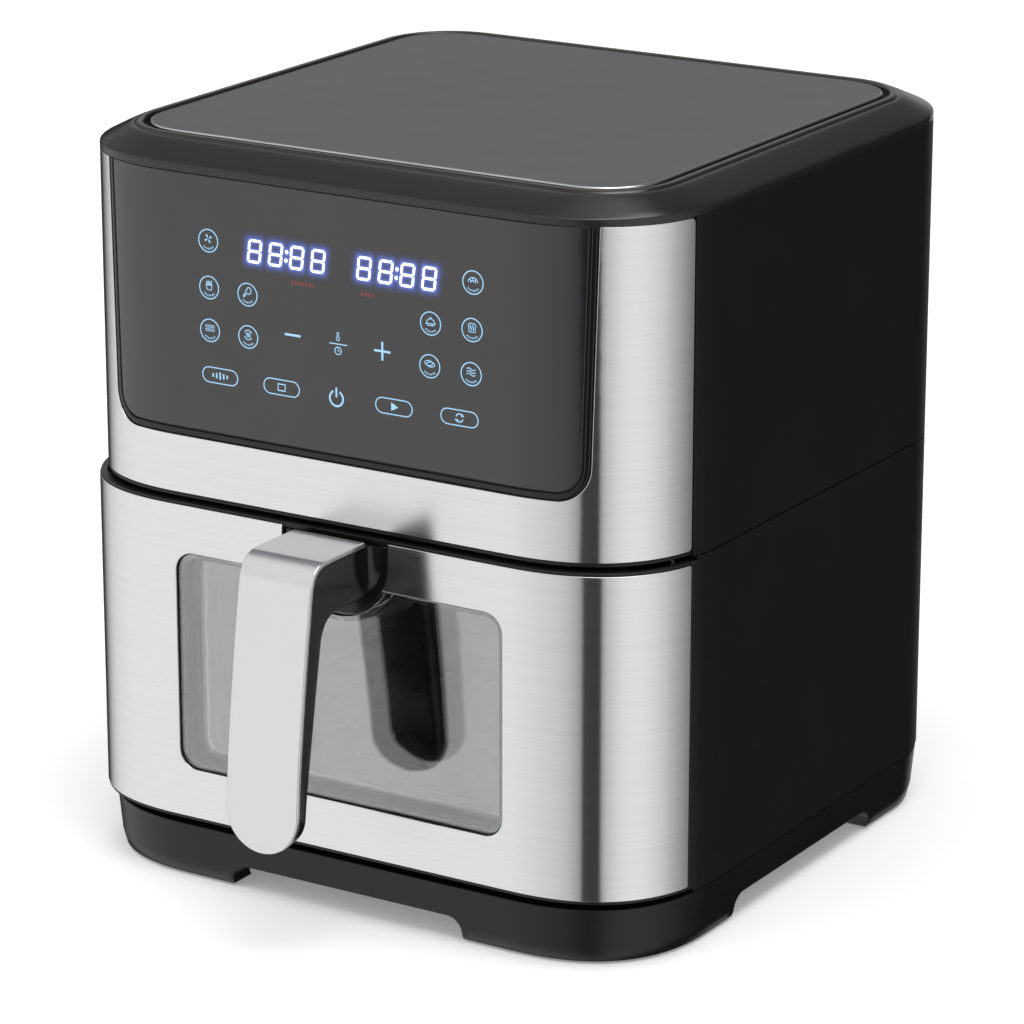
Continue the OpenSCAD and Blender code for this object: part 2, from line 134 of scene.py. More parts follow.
def inside(pts, loop):
    x, y = pts[:, 0], pts[:, 1]
    L = np.array(loop)
    r = np.zeros(len(pts), bool)
    j = len(L) - 1
    for i in range(len(L)):
        xi, yi, xj, yj = L[i, 0], L[i, 1], L[j, 0], L[j, 1]
        c = ((yi > y) != (yj > y)) & (x < (xj - xi) * (y - yi) / (yj - yi + 1e-12) + xi)
        r ^= c
        j = i
    return r


def xyz(x, y, z):
    return np.stack(np.broadcast_arrays(np.asarray(x, float), np.asarray(y, float), np.asarray(z, float)), axis=-1)


# ------------------------------------------------------------------ sheets
def sheet(name, mapf, outer, holes, thick, bevel, mat, step=2.0, grid=None, back_bevel=None):
    """A panel of real thickness with rolled edges. mapf(u, v, depth) gives millimetres; outer is the outline in u, v."""
    outer = densify(outer, step)
    if area2(outer) < 0:
        outer = outer[::-1]
    loops = [outer]
    for h in holes:
        h = densify(h, step)
        if area2(h) > 0:
            h = h[::-1]
        loops.append(h)
    b = bevel
    c = 0.293 * b
    ins = [offset(l, b) for l in loops]
    pts = []
    starts = []
    edges = []
    for l in ins:
        k = len(pts)
        starts.append(k)
        pts += [Vector((float(x), float(y))) for x, y in l]
        m = len(l)
        edges += [(k + i, k + (i + 1) % m) for i in range(m)]
    if grid:
        du, dv = grid
        a = np.array(ins[0])
        us = np.arange(a[:, 0].min() + du, a[:, 0].max(), du)
        vs = np.arange(a[:, 1].min() + dv, a[:, 1].max(), dv)
        g = np.array([(u, v) for u in us for v in vs]).reshape(-1, 2)
        ok = inside(g, offset(loops[0], b + 0.9))
        for l in loops[1:]:
            ok &= ~inside(g, offset(l, b + 0.9))
        pts += [Vector((float(x), float(y))) for x, y in g[ok]]
    vs_, _e, fs_, ov, _oe, _of = geometry.delaunay_2d_cdt(pts, edges, [], 1, 1e-6)
    uv = np.array([(v.x, v.y) for v in vs_])
    tri = [list(f) for f in fs_]
    cen = np.array([uv[f].mean(axis=0) for f in tri])
    ok = inside(cen, ins[0])
    for l in ins[1:]:
        ok &= ~inside(cen, l)
    tri = [f for f, o in zip(tri, ok) if o]
    where = {}
    for i, src in enumerate(ov):
        for s in src:
            where[s] = i
    n0 = len(uv)

    def frame_at(u, v):
        h = 0.05
        tu = mapf(u + h, v, 0 * u) - mapf(u - h, v, 0 * u)
        tv = mapf(u, v + h, 0 * u) - mapf(u, v - h, 0 * u)
        tu /= np.linalg.norm(tu, axis=1, keepdims=True)
        tv /= np.linalg.norm(tv, axis=1, keepdims=True)
        n = np.cross(tu, tv)
        return tu, tv, n / np.linalg.norm(n, axis=1, keepdims=True)

    z0 = np.zeros(n0)
    nrm = frame_at(uv[:, 0], uv[:, 1])[2]
    verts = [mapf(uv[:, 0], uv[:, 1], z0), mapf(uv[:, 0], uv[:, 1], z0 + thick)]
    norms = [nrm, -nrm]
    count = 2 * n0
    faces = [tuple(f) for f in tri] + [tuple(n0 + i for i in reversed(f)) for f in tri]
    rings = [(c, c, 1), (0.0, b, 0), (0.0, thick - b, 0), (c, thick - c, -1)]
    for li, l in enumerate(loops):
        m, s = left_normals(l)
        L = np.array(l, float)
        tu, tv, n = frame_at(L[:, 0], L[:, 1])
        side = -(m[:, :1] * tu + m[:, 1:] * tv)
        cols = [[where[starts[li] + i] for i in range(len(l))]]
        for inset, depth, k in rings:
            q = L + m * (inset * s)[:, None]
            nn = side + k * n
            verts.append(mapf(q[:, 0], q[:, 1], np.full(len(l), float(depth))))
            norms.append(nn / np.linalg.norm(nn, axis=1, keepdims=True))
            cols.append(list(range(count, count + len(l))))
            count += len(l)
        cols.append([n0 + where[starts[li] + i] for i in range(len(l))])
        for a, bb in zip(cols[:-1], cols[1:]):
            for i in range(len(l)):
                j = (i + 1) % len(l)
                faces.append((a[i], bb[i], bb[j], a[j]))
    va = np.vstack(verts) * 1e-3
    va[:, 1] += YS
    nv = np.vstack(norms)
    fixed = []
    for size in (3, 4):
        F = np.array([f for f in faces if len(f) == size and len(set(f)) == size], int).reshape(-1, size)
        if not len(F):
            continue
        q = va[F]
        fn = np.cross(q[:, 1] - q[:, 0], q[:, 2] - q[:, 0])
        if size == 4:
            fn = fn + np.cross(q[:, 2] - q[:, 0], q[:, 3] - q[:, 0])
        flip = np.einsum("ij,ij->i", fn, nv[F].mean(axis=1)) < 0
        F[flip] = F[flip][:, ::-1]
        fixed += [tuple(int(i) for i in f) for f in F]
    odd = [f for f in faces if 3 <= len(set(f)) < len(f)]
    for f in odd:
        f = tuple(dict.fromkeys(f))
        q = va[list(f)]
        fn = np.cross(q[1] - q[0], q[2] - q[0])
        fixed.append(f if float(np.dot(fn, nv[list(f)].mean(axis=0))) >= 0 else tuple(reversed(f)))
    used = sorted(set(i for f in fixed for i in f))
    remap = {o: k for k, o in enumerate(used)}
    return add_mesh(name, va[used], [tuple(remap[i] for i in f) for f in fixed], mat, normals=nv[used])


def loft(name, rings, mat, sharp=40, cap=(False, False), closed=True, wrap=False):
    """rings: lists of equal length of build-millimetre points; quads between them"""
    n = len(rings[0])
    verts = [p3(*q) for r in rings for q in r]
    faces = []
    m = len(rings)
    for k in range(m if wrap else m - 1):
        a = k * n
        b = ((k + 1) % m) * n
        for i in range(n if closed else n - 1):
            j = (i + 1) % n
            faces.append((a + i, a + j, b + j, b + i))
    if cap[0]:
        faces.append(tuple(reversed(range(n))))
    if cap[1]:
        faces.append(tuple((m - 1) * n + i for i in range(n)))
    return add_mesh(name, verts, faces, mat, sharp=sharp)


# ------------------------------------------------------------------ outlines
def half_outline(hw, y0, y1, Rf, ef, Rb, eb, t=0.0):
    """front centre to back centre by the right side: points"""
    hw, y0, y1 = hw - t, y0 + t, y1 - t
    pts = []
    cx = hw - Rf
    for i in range(60):
        pts.append((cx * i / 60, y0))
    for i in range(181):
        a = math.pi / 2 * i / 180
        pts.append((cx + Rf * math.sin(a) ** (2 / ef), y0 + Rf - Rf * math.cos(a) ** (2 / ef)))
    ya, yb = y0 + Rf, y1 - Rb
    for i in range(1, 60):
        pts.append((hw, ya + (yb - ya) * i / 60))
    cx = hw - Rb
    for i in range(121):
        a = math.pi / 2 * i / 120
        pts.append((cx + Rb * math.cos(a) ** (2 / eb), yb + Rb * math.sin(a) ** (2 / eb)))
    for i in range(1, 41):
        pts.append((cx * (1 - i / 40), y1))
    p = np.array(pts)
    keep = [0]
    for i in range(1, len(p)):
        if np.linalg.norm(p[i] - p[keep[-1]]) > 1e-4:
            keep.append(i)
    return p[keep]


class Path:
    """closed outline, s = 0 at the front centre, positive to the right, +-L at the back centre"""

    def __init__(self, *a, **k):
        h = half_outline(*a, **k)
        e = np.linalg.norm(np.diff(h, axis=0), axis=1)
        s = np.concatenate([[0], np.cumsum(e)])
        t = np.gradient(h, s, axis=0)
        t /= np.linalg.norm(t, axis=1, keepdims=True)
        n = np.column_stack([t[:, 1], -t[:, 0]])
        n[0] = (0, -1)
        n[-1] = (0, 1)
        self.h, self.s, self.n, self.L = h, s, n, s[-1]

    def at(self, s):
        s = np.asarray(s, float)
        q = np.abs(s)
        over = q > self.L
        q = np.where(over, 2 * self.L - q, q)
        sg = np.where(s >= 0, 1.0, -1.0) * np.where(over, -1.0, 1.0)
        x = np.interp(q, self.s, self.h[:, 0])
        y = np.interp(q, self.s, self.h[:, 1])
        nx = np.interp(q, self.s, self.n[:, 0])
        ny = np.interp(q, self.s, self.n[:, 1])
        l = np.hypot(nx, ny)
        return sg * x, y, sg * nx / l, ny / l

    def s_x(self, x):
        k = int(np.argmax(self.h[:, 0] >= self.h[:, 0].max() - 0.02))
        return float(np.interp(x, self.h[:k, 0], self.s[:k]))

    def s_y(self, y):
        k = int(np.argmin(self.h[:, 1]))
        h = self.h[30:-30]
        s = self.s[30:-30]
        return float(np.interp(y, h[:, 1], s))

    def wrap(self, base=0.0, taper=None):
        def f(s, z, d):
            x, y, nx, ny = self.at(s)
            d = d + base + (taper(z) if taper else 0.0)
            return xyz(x - nx * d, y - ny * d, z)
        return f

    def back(self, base=0.0):
        g = self.wrap(base)

        def f(u, z, d):
            u = np.asarray(u, float)
            return g(np.where(u < 0, self.L + u, -self.L + u), z, d)
        return f


def ring(hw, y0, y1, Rf, ef, Rb, eb, t, z, M=26, K=10):
    """closed loop of fixed length at inset t and height z, counter-clockwise from above"""
    hw, y0, y1 = hw - t, y0 + t, y1 - t
    Rf, Rb = Rf - t, Rb - t
    out = []
    cf, cb = hw - Rf, hw - Rb
    for i in range(K):
        out.append((-cf + 2 * cf * i / K, y0))
    for i in range(M):
        a = math.pi / 2 * i / M
        out.append((cf + Rf * math.sin(a) ** (2 / ef), y0 + Rf - Rf * math.cos(a) ** (2 / ef)))
    for i in range(K):
        out.append((hw, y0 + Rf + (y1 - Rb - y0 - Rf) * i / K))
    for i in range(M):
        a = math.pi / 2 * i / M
        out.append((cb + Rb * math.cos(a) ** (2 / eb), y1 - Rb + Rb * math.sin(a) ** (2 / eb)))
    for i in range(K):
        out.append((cb - 2 * cb * i / K, y1))
    for i in range(M):
        a = math.pi / 2 * i / M
        out.append((-cb - Rb * math.sin(a) ** (2 / eb), y1 - Rb + Rb * math.cos(a) ** (2 / eb)))
    for i in range(K):
        out.append((-hw, y1 - Rb - (y1 - Rb - y0 - Rf) * i / K))
    for i in range(M):
        a = math.pi / 2 * i / M
        out.append((-cf - Rf * math.cos(a) ** (2 / ef), y0 + Rf - Rf * math.sin(a) ** (2 / ef)))
    return [(x, y, z) for x, y in out]


R1, E1 = 67.1, 2.48
UP = (147.25, 2.75, 297.0, R1, E1, 57.0, 2.0)
DR = (150.0, 0.0, 297.0, R1, E1, 57.0, 2.0)
pu = Path(*UP)
pd = Path(*DR)


# ------------------------------------------------------------------ materials
def nodes_of(name):
    m = bpy.data.materials.new(name)
    m.use_nodes = True
    nt = m.node_tree
    bsdf = next(n for n in nt.nodes if n.type == "BSDF_PRINCIPLED")
    return m, nt, bsdf


def coord(nt, scale, kind="Object"):
    tc = nt.nodes.new("ShaderNodeTexCoord")
    mp = nt.nodes.new("ShaderNodeMapping")
    mp.inputs["Scale"].default_value = scale
    nt.links.new(tc.outputs[kind], mp.inputs["Vector"])
    return mp.outputs["Vector"]


def noise(nt, vec, scale=1.0, detail=3.0, rough=0.5, dist=0.0):
    n = nt.nodes.new("ShaderNodeTexNoise")
    n.inputs["Scale"].default_value = scale
    n.inputs["Detail"].default_value = detail
    n.inputs["Roughness"].default_value = rough
    n.inputs["Distortion"].default_value = dist
    nt.links.new(vec, n.inputs["Vector"])
    return n.outputs["Fac"]


def remap(nt, val, lo, hi, a=0.3, b=0.7):
    r = nt.nodes.new("ShaderNodeMapRange")
    r.inputs["From Min"].default_value = a
    r.inputs["From Max"].default_value = b
    r.inputs["To Min"].default_value = lo
    r.inputs["To Max"].default_value = hi
    nt.links.new(val, r.inputs["Value"])
    return r.outputs["Result"]


def mixcol(nt, fac, c0, c1):
    m = nt.nodes.new("ShaderNodeMix")
    m.data_type = "RGBA"
    m.inputs[6].default_value = (*c0, 1)
    m.inputs[7].default_value = (*c1, 1)
    nt.links.new(fac, m.inputs[0])
    return m.outputs[2]


def bump(nt, bsdf, val, strength, dist=0.0002, prev=None):
    b = nt.nodes.new("ShaderNodeBump")
    b.inputs["Strength"].default_value = strength
    b.inputs["Distance"].default_value = dist
    nt.links.new(val, b.inputs["Height"])
    if prev is not None:
        nt.links.new(prev, b.inputs["Normal"])
    nt.links.new(b.outputs["Normal"], bsdf.inputs["Normal"])
    return b.outputs["Normal"]


def plastic(name, c0, c1, rough, rvar=0.04, spec=0.5, grain=2200.0, gstr=0.12, coat=0.0, cscale=14.0):
    m, nt, b = nodes_of(name)
    v = coord(nt, (1, 1, 1))
    big = noise(nt, v, cscale, 3)
    fine = noise(nt, v, grain, 2)
    nt.links.new(mixcol(nt, remap(nt, big, 0, 1), c0, c1), b.inputs["Base Color"])
    nt.links.new(remap(nt, noise(nt, v, 60.0, 4), rough - rvar, rough + rvar), b.inputs["Roughness"])
    b.inputs["Specular IOR Level"].default_value = spec
    b.inputs["Coat Weight"].default_value = coat
    b.inputs["Coat Roughness"].default_value = 0.12
    bump(nt, b, fine, gstr, 0.00006)
    return m


def brushed(name, c0, c1, rough, scale, aniso=0.75, bstr=0.10, tangent="Z", streak=0.06):
    m, nt, b = nodes_of(name)
    v = coord(nt, scale)
    n1 = noise(nt, v, 1.0, 5, 0.62)
    n2 = noise(nt, coord(nt, tuple(s * 0.23 for s in scale)), 1.0, 3, 0.5)
    nt.links.new(mixcol(nt, remap(nt, n1, 0, 1, 0.25, 0.75), c0, c1), b.inputs["Base Color"])
    nt.links.new(remap(nt, n2, rough - streak, rough + streak), b.inputs["Roughness"])
    b.inputs["Metallic"].default_value = 1.0
    b.inputs["Anisotropic"].default_value = aniso
    t = nt.nodes.new("ShaderNodeTangent")
    t.direction_type = "RADIAL"
    t.axis = tangent
    nt.links.new(t.outputs["Tangent"], b.inputs["Tangent"])
    b.inputs["Anisotropic Rotation"].default_value = 0.25
    bump(nt, b, n1, bstr, 0.00005)
    return m


def metal(name, c0, c1, rough, rvar=0.06, nscale=40.0, bstr=0.08):
    m, nt, b = nodes_of(name)
    v = coord(nt, (1, 1, 1))
    n = noise(nt, v, nscale, 5, 0.6)
    nt.links.new(mixcol(nt, remap(nt, n, 0, 1), c0, c1), b.inputs["Base Color"])
    nt.links.new(remap(nt, noise(nt, v, nscale * 6, 3), rough - rvar, rough + rvar), b.inputs["Roughness"])
    b.inputs["Metallic"].default_value = 1.0
    bump(nt, b, noise(nt, v, 900.0, 2), bstr, 0.00005)
    return m


M = {}
M["steel"] = brushed("brushed_steel", (0.735, 0.735, 0.745), (0.785, 0.785, 0.795), 0.155, (4, 4, 1500), aniso=0.97, bstr=0.09, streak=0.012)
M["side"] = plastic("side_black", (0.0072, 0.0072, 0.0078), (0.0082, 0.0082, 0.0088), 0.46, rvar=0.02, spec=0.22, grain=2600, gstr=0.03)
M["base"] = plastic("base_black", (0.0075, 0.0075, 0.008), (0.0085, 0.0085, 0.009), 0.30, rvar=0.02, spec=0.32, grain=1500, gstr=0.02)
M["lid"] = plastic("lid_satin", (0.012, 0.012, 0.013), (0.0145, 0.0145, 0.0155), 0.20, rvar=0.015, spec=0.52, grain=1500, gstr=0.012)
M["plate"] = plastic("top_plate_satin", (0.026, 0.031, 0.034), (0.034, 0.040, 0.043), 0.30, rvar=0.008, spec=0.53, grain=1700, gstr=0.006, cscale=5)
M["panel"] = plastic("panel_tint", (0.0100, 0.0100, 0.0120), (0.0125, 0.0125, 0.0145), 0.12, rvar=0.01, spec=0.86, grain=1500, gstr=0.004)
M["gloss"] = plastic("gloss_black", (0.0055, 0.0055, 0.006), (0.0075, 0.0075, 0.008), 0.16, rvar=0.02, spec=0.42, grain=1500, gstr=0.006)
M["frame"] = plastic("frame_black", (0.006, 0.006, 0.0065), (0.008, 0.008, 0.0085), 0.34, rvar=0.02, spec=0.35, gstr=0.03)
M["silver"] = plastic("silver_paint", (0.70, 0.705, 0.715), (0.712, 0.717, 0.727), 0.15, rvar=0.01, grain=1800, gstr=0.006)
for n in M["silver"].node_tree.nodes:
    if n.type == "BSDF_PRINCIPLED":
        n.inputs["Metallic"].default_value = 0.85
        n.inputs["Coat Weight"].default_value = 0.25
M["coat"] = plastic("nonstick", (0.0045, 0.0045, 0.005), (0.009, 0.009, 0.010), 0.36, rvar=0.05, spec=0.35, grain=1500, gstr=0.10, cscale=260)
M["sheetmetal"] = metal("aluminised_sheet", (0.46, 0.47, 0.48), (0.62, 0.63, 0.64), 0.38, nscale=28)
M["trim"] = metal("polished_edge", (0.52, 0.53, 0.54), (0.60, 0.61, 0.62), 0.20, rvar=0.02, nscale=90, bstr=0.02)
M["tube"] = metal("heat_tinted_tube", (0.10, 0.085, 0.075), (0.26, 0.24, 0.23), 0.42, nscale=22)
M["zinc"] = metal("zinc_plated", (0.52, 0.52, 0.50), (0.70, 0.69, 0.66), 0.28, nscale=120)
M["motor"] = metal("laminations", (0.20, 0.20, 0.21), (0.34, 0.34, 0.35), 0.45, nscale=60)
M["rubber"] = plastic("rubber_matt", (0.012, 0.012, 0.012), (0.020, 0.020, 0.020), 0.75, spec=0.25, grain=1400, gstr=0.3)
M["silicone"] = plastic("silicone_matt", (0.016, 0.016, 0.018), (0.024, 0.024, 0.026), 0.6, spec=0.35, grain=1400, gstr=0.15)
M["pcb"] = plastic("solder_mask", (0.010, 0.075, 0.035), (0.015, 0.10, 0.05), 0.35, spec=0.5, grain=900, gstr=0.2, cscale=90)
M["white"] = plastic("ivory_plastic", (0.62, 0.60, 0.55), (0.68, 0.66, 0.61), 0.45, spec=0.4)


def clear(name, tint, ior, rough=0.0):
    m, nt, b = nodes_of(name)
    v = coord(nt, (1, 1, 1))
    n = noise(nt, v, 18.0, 2)
    nt.links.new(mixcol(nt, remap(nt, n, 0, 1), tint, tuple(min(1.0, t * 1.03) for t in tint)), b.inputs["Base Color"])
    b.inputs["Roughness"].default_value = rough
    b.inputs["Transmission Weight"].default_value = 1.0
    b.inputs["IOR"].default_value = ior
    return m


M["glass"] = clear("clear_pane_outer", (0.95, 0.965, 0.97), 2.07)
M["glass2"] = clear("clear_pane_inner", (0.95, 0.965, 0.97), 1.93)
M["clearedge"] = clear("clear_moulding", (0.90, 0.92, 0.925), 1.49, 0.01)


def glow(name, color, strength, var=0.15):
    m, nt, b = nodes_of(name)
    v = coord(nt, (1, 1, 1))
    n = noise(nt, v, 900.0, 2)
    nt.links.new(mixcol(nt, remap(nt, n, 0, 1), color, tuple(c * (1 - var) for c in color)), b.inputs["Emission Color"])
    b.inputs["Base Color"].default_value = (*[c * 0.6 for c in color], 1)
    b.inputs["Emission Strength"].default_value = strength
    b.inputs["Roughness"].default_value = 0.4
    return m


M["icon"] = glow("printed_mark", (0.31, 0.56, 0.80), 0.72)
M["digit"] = glow("lit_digit", (0.80, 0.90, 1.0), 2.6, 0.05)
M["red"] = glow("dim_red_mark", (0.20, 0.035, 0.03), 0.55)


# ------------------------------------------------------------------ base
def base_taper(z):
    t = (25.7 - z) / 24.7
    return 2.3 * t + 1.4 * (np.maximum(0.0, 4.5 - z) / 3.5) ** 2


def arch_edge(c, half, top, r=7.0, rb=1.2):
    """points of an arch seen left to right along the lower edge z = 1, as a notch in the outline"""
    pts = []
    pts += arc(c - half - rb, 1 + rb, rb, 270, 360, 5)
    pts += arc(c - half + r, top - r, r, 180, 90, 8)
    pts += arc(c + half - r, top - r, r, 90, 0, 8)
    pts += arc(c + half + rb, 1 + rb, rb, 180, 270, 5)
    return pts


sr0, sr1 = pu.s_y(88), pu.s_y(212)
half_side = (sr1 - sr0) / 2
cside = (sr0 + sr1) / 2
Lb = pu.L - 0.02
poly = []
poly += [(-Lb, 11.0)] + arc(-Lb + 59 - 7, 11 - 7, 7, 90, 0, 8) + arc(-Lb + 59 + 1.2, 2.2, 1.2, 180, 270, 5)
poly += arch_edge(-cside, half_side, 11.0)
poly += arch_edge(0.0, 59.0, 11.0)
poly += arch_edge(cside, half_side, 11.0)
poly += arc(Lb - 59 - 1.2, 2.2, 1.2, 270, 360, 5) + arc(Lb - 59 + 7, 11 - 7, 7, 180, 90, 8) + [(Lb, 11.0)]
poly += [(Lb, 25.7), (-Lb, 25.7)]
ob = sheet("base_skirt", pu.wrap(0.35, base_taper), poly, [], 13.0, 0.55, M["base"], step=1.6, grid=(2.2, 6.0))
done(ob, "housing", "black_plastic", "base_shell")


def planar_z(ztop):
    return lambda x, y, d: xyz(x, y, ztop - d)


def loop_of(path, inset, step=3.0, lo=None, hi=None):
    """plan loop of a closed outline, inset; counter-clockwise from above"""
    n = int(2 * path.L / step)
    pts = []
    for i in range(n):
        s = -path.L + 2 * path.L * i / n
        x, y, nx, ny = path.at(s)
        pts.append((x - nx * inset, y - ny * inset))
    return pts


ob = sheet("base_floor", planar_z(25.6), loop_of(pu, 1.6), [], 2.4, 0.3, M["base"], step=3.0)
done(ob, "housing", "black_plastic", "base_shell")

for sx in (-1, 1):
    for yy in (27.5, 272.0):
        cx = 122.6 * sx
        prof_f = [(0.4, 1.6), (4.6, 1.6), (4.6, 0.7), (4.3, 0.15), (3.8, 0.0), (0.4, 0.0)]
        rg = [[(cx + r * math.cos(math.tau * i / 36), yy + r * math.sin(math.tau * i / 36), z) for i in range(36)] for r, z in prof_f]
        ob = loft("foot_pad_%s%s" % ("r" if sx > 0 else "l", "f" if yy < 100 else "b"), rg, M["rubber"], sharp=35, cap=(True, True))
        done(ob, "housing", "rubber", "rubber_feet")

# ------------------------------------------------------------------ housing shells
UL = pu.L - pu.s_y(50.5)
ob = sheet("side_shell_lower", pu.back(0.0), [(-UL, 26.6), (UL, 26.6), (UL, 174.15), (-UL, 174.15)], [], 2.2, 0.45, M["side"], step=2.0, grid=(2.6, 18.0))
done(ob, "housing", "black_plastic", "housing_lower")
UU = pu.L - pu.s_y(47.5)
vent = rrect(-61, 61, 199, 261, 3)
ob = sheet("side_shell_upper", pu.back(0.0), rrect(-UU, UU, 174.75, 318.35, 0.5, 3), [vent], 2.2, 0.45, M["side"], step=2.0, grid=(2.6, 18.0))
done(ob, "housing", "black_plastic", "housing_upper")
# inner step that closes the two seams from behind
ob = sheet("seam_strip", pu.back(0.9), rrect(-UL + 1, UL - 1, 172.0, 177.0, 0.3, 2), [], 1.2, 0.2, M["side"], step=3.0, grid=(3.0, 9.0))
done(ob, "housing", "black_plastic", "housing_lower")
ob = sheet("foot_strip", pu.back(0.9), rrect(-UL + 1, UL - 1, 25.2, 28.0, 0.3, 2), [], 1.2, 0.2, M["side"], step=3.0, grid=(3.0, 9.0))
done(ob, "housing", "black_plastic", "housing_lower")

# ------------------------------------------------------------------ upper front
SE = pu.s_y(46.7)
GX = 115.6               # half width along the outline of the control glass at its foot
ZT = 318.1
G0 = 207.1
TAPER = 0.029


def panel_cut(g, top):
    """C-shaped edge of the control cut-out grown by g, listed right to left along the top edge; it widens upwards"""
    hw = GX + g
    r = 11.0 + g
    z0 = G0 - g
    wid = TAPER * (top - z0)
    side = [(hw + wid * k / 10, z0 + (top - z0) * k / 10) for k in range(10, 2, -1)]
    pts = side + arc(hw - r + TAPER * r, z0 + r, r, 0, -90, 14) + arc(-hw + r - TAPER * r, z0 + r, r, 270, 180, 14)
    return pts + [(-x_, z_) for x_, z_ in reversed(side)]


def c_shape(g, s_end, z0, z1, rb=0.8, rt=3.0):
    pts = arc(-s_end + rb, z0 + rb, rb, 180, 270, 5) + arc(s_end - rb, z0 + rb, rb, 270, 360, 5)
    pts += arc(s_end - rt, z1 - rt, rt, 0, 90, 8)
    pts += panel_cut(g, z1)
    pts += arc(-s_end + rt, z1 - rt, rt, 90, 180, 8)
    return pts


ob = sheet("steel_wrap_upper", pu.wrap(0.0), c_shape(3.95, SE, 177.6, ZT, rb=1.6, rt=2.2), [], 0.9, 0.28, M["steel"], step=1.5, grid=(1.8, 14.0))
done(ob, "housing", "brushed_steel", "upper_steel_wrap")

# bezel: a rounded strip between the glass and the steel, with a fine groove on both sides
bez = panel_cut(3.45, ZT) + list(reversed(panel_cut(0.75, ZT)))
ob = sheet("panel_bezel", pu.wrap(0.25), bez, [], 3.0, 0.75, M["gloss"], step=1.5)
done(ob, "housing", "black_gloss", "control_bezel")
bez = panel_cut(3.9, ZT) + list(reversed(panel_cut(-0.4, ZT)))
ob = sheet("panel_bezel_floor", pu.wrap(1.3), bez, [], 2.2, 0.2, M["frame"], step=2.0)
done(ob, "housing", "black_gloss", "control_bezel")

gl = list(reversed(panel_cut(0.0, ZT - 0.1)))
ob = sheet("panel_glass", pu.wrap(0.30), gl, [], 3.0, 0.42, M["panel"], step=1.5, grid=(1.8, 12.0))
done(ob, "housing", "panel_glass", "control_glass")

ob = sheet("front_frame_upper", pu.wrap(1.0), c_shape(3.6, SE + 0.45, 175.9, 318.3, rt=1.0), [], 2.6, 0.2, M["frame"], step=2.0, grid=(2.6, 14.0))
done(ob, "housing", "black_plastic", "upper_front_frame")
back = panel_cut(7.0, 318.0) + list(reversed(panel_cut(-4.0, 318.0)))
ob = sheet("front_frame_backing", pu.wrap(3.65), back, [], 1.6, 0.2, M["frame"], step=2.0)
done(ob, "housing", "black_plastic", "upper_front_frame")
ob = sheet("front_lip_upper", pu.wrap(0.25), rrect(-SE, SE, 175.85, 177.35, 0.3, 2), [], 2.6, 0.3, M["frame"], step=1.5, grid=(2.0, 9.0))
done(ob, "housing", "black_plastic", "upper_front_frame")

# ------------------------------------------------------------------ lid
PLATE = (126.2, 148.5 - 121.7, 148.5 + 121.7, 29.0, 2.1, 29.0, 2.1)


def mix_ring(w, z, t=0.0):
    a = ring(*UP, t, z)
    b = ring(*PLATE, 0.0, z)
    return [(p[0] * (1 - w) + q[0] * w, p[1] * (1 - w) + q[1] * w, z) for p, q in zip(a, b)]


prof = [(0.030, 318.15, 0), (0.012, 318.2, 0), (0.0, 318.5, 0), (0.0, 320.5, 0), (0.002, 320.9, 0), (0.008, 321.2, 0), (0.020, 321.45, 0),
        (0.040, 321.75, 0), (0.16, 323.0, 0), (0.30, 324.4, 0), (0.45, 325.9, 0), (0.58, 327.15, 0), (0.655, 327.8, 0), (0.70, 328.05, 0), (0.735, 328.15, 0),
        (0.742, 328.1, 0), (0.750, 328.2, 0), (0.765, 328.6, 0), (0.790, 328.95, 0), (0.82, 329.12, 0), (0.86, 329.2, 0), (0.90, 329.18, 0), (0.93, 329.0, 0),
        (0.945, 328.6, 0), (0.95, 328.1, 0), (0.95, 325.3, 0)]
rings = [mix_ring(w, z) for w, z, _ in prof]
rings += [ring(*PLATE, 6.0, 325.2)]
rings += [ring(*PLATE, 6.0, 323.0), mix_ring(0.5, 322.6), mix_ring(0.12, 321.0), mix_ring(0.10, 318.15)]
ob = loft("lid_rim", rings, M["lid"], sharp=38, wrap=True)
done(ob, "housing", "lid_plastic", "top_cover")
tray = rrect(-121, 121, 32, 265, 24, 14)
ob = sheet("lid_tray", planar_z(325.1), tray, [], 1.8, 0.2, M["lid"], step=4)
done(ob, "housing", "lid_plastic", "top_cover")

plate_loop = [(x, y) for x, y, z in ring(124.7, 148.5 - 120.2, 148.5 + 120.2, 28.0, 2.1, 28.0, 2.1, 0, 0)]


def plate_map(x, y, d):
    return xyz(x, y, 329.1 - d)


ob = sheet("top_plate_panel", plate_map, plate_loop, [], 3.7, 1.15, M["plate"], step=2.5, grid=(12, 12))
done(ob, "housing", "lid_plate", "top_plate")

# polished edge of the plate
PEDGE = (124.7, 148.5 - 120.2, 148.5 + 120.2, 28.0, 2.1, 28.0, 2.1)
rg = [ring(*PEDGE, t, z) for t, z in ((-0.02, 328.1), (-0.04, 328.45), (0.06, 328.72), (0.40, 329.06), (0.62, 329.13), (0.80, 329.13), (0.80, 328.1))]
ob = loft("top_plate_edge", rg, M["trim"], sharp=50, wrap=True)
done(ob, "housing", "lid_plate", "top_plate")

# ------------------------------------------------------------------ drawer front
SD = pd.s_y(42.6)
SF = pd.s_y(49.3)
ZC = 164.5
UR = 26.7
W0, W1, ZB, ZW = -82.5, 82.5, 53.3, 152.0


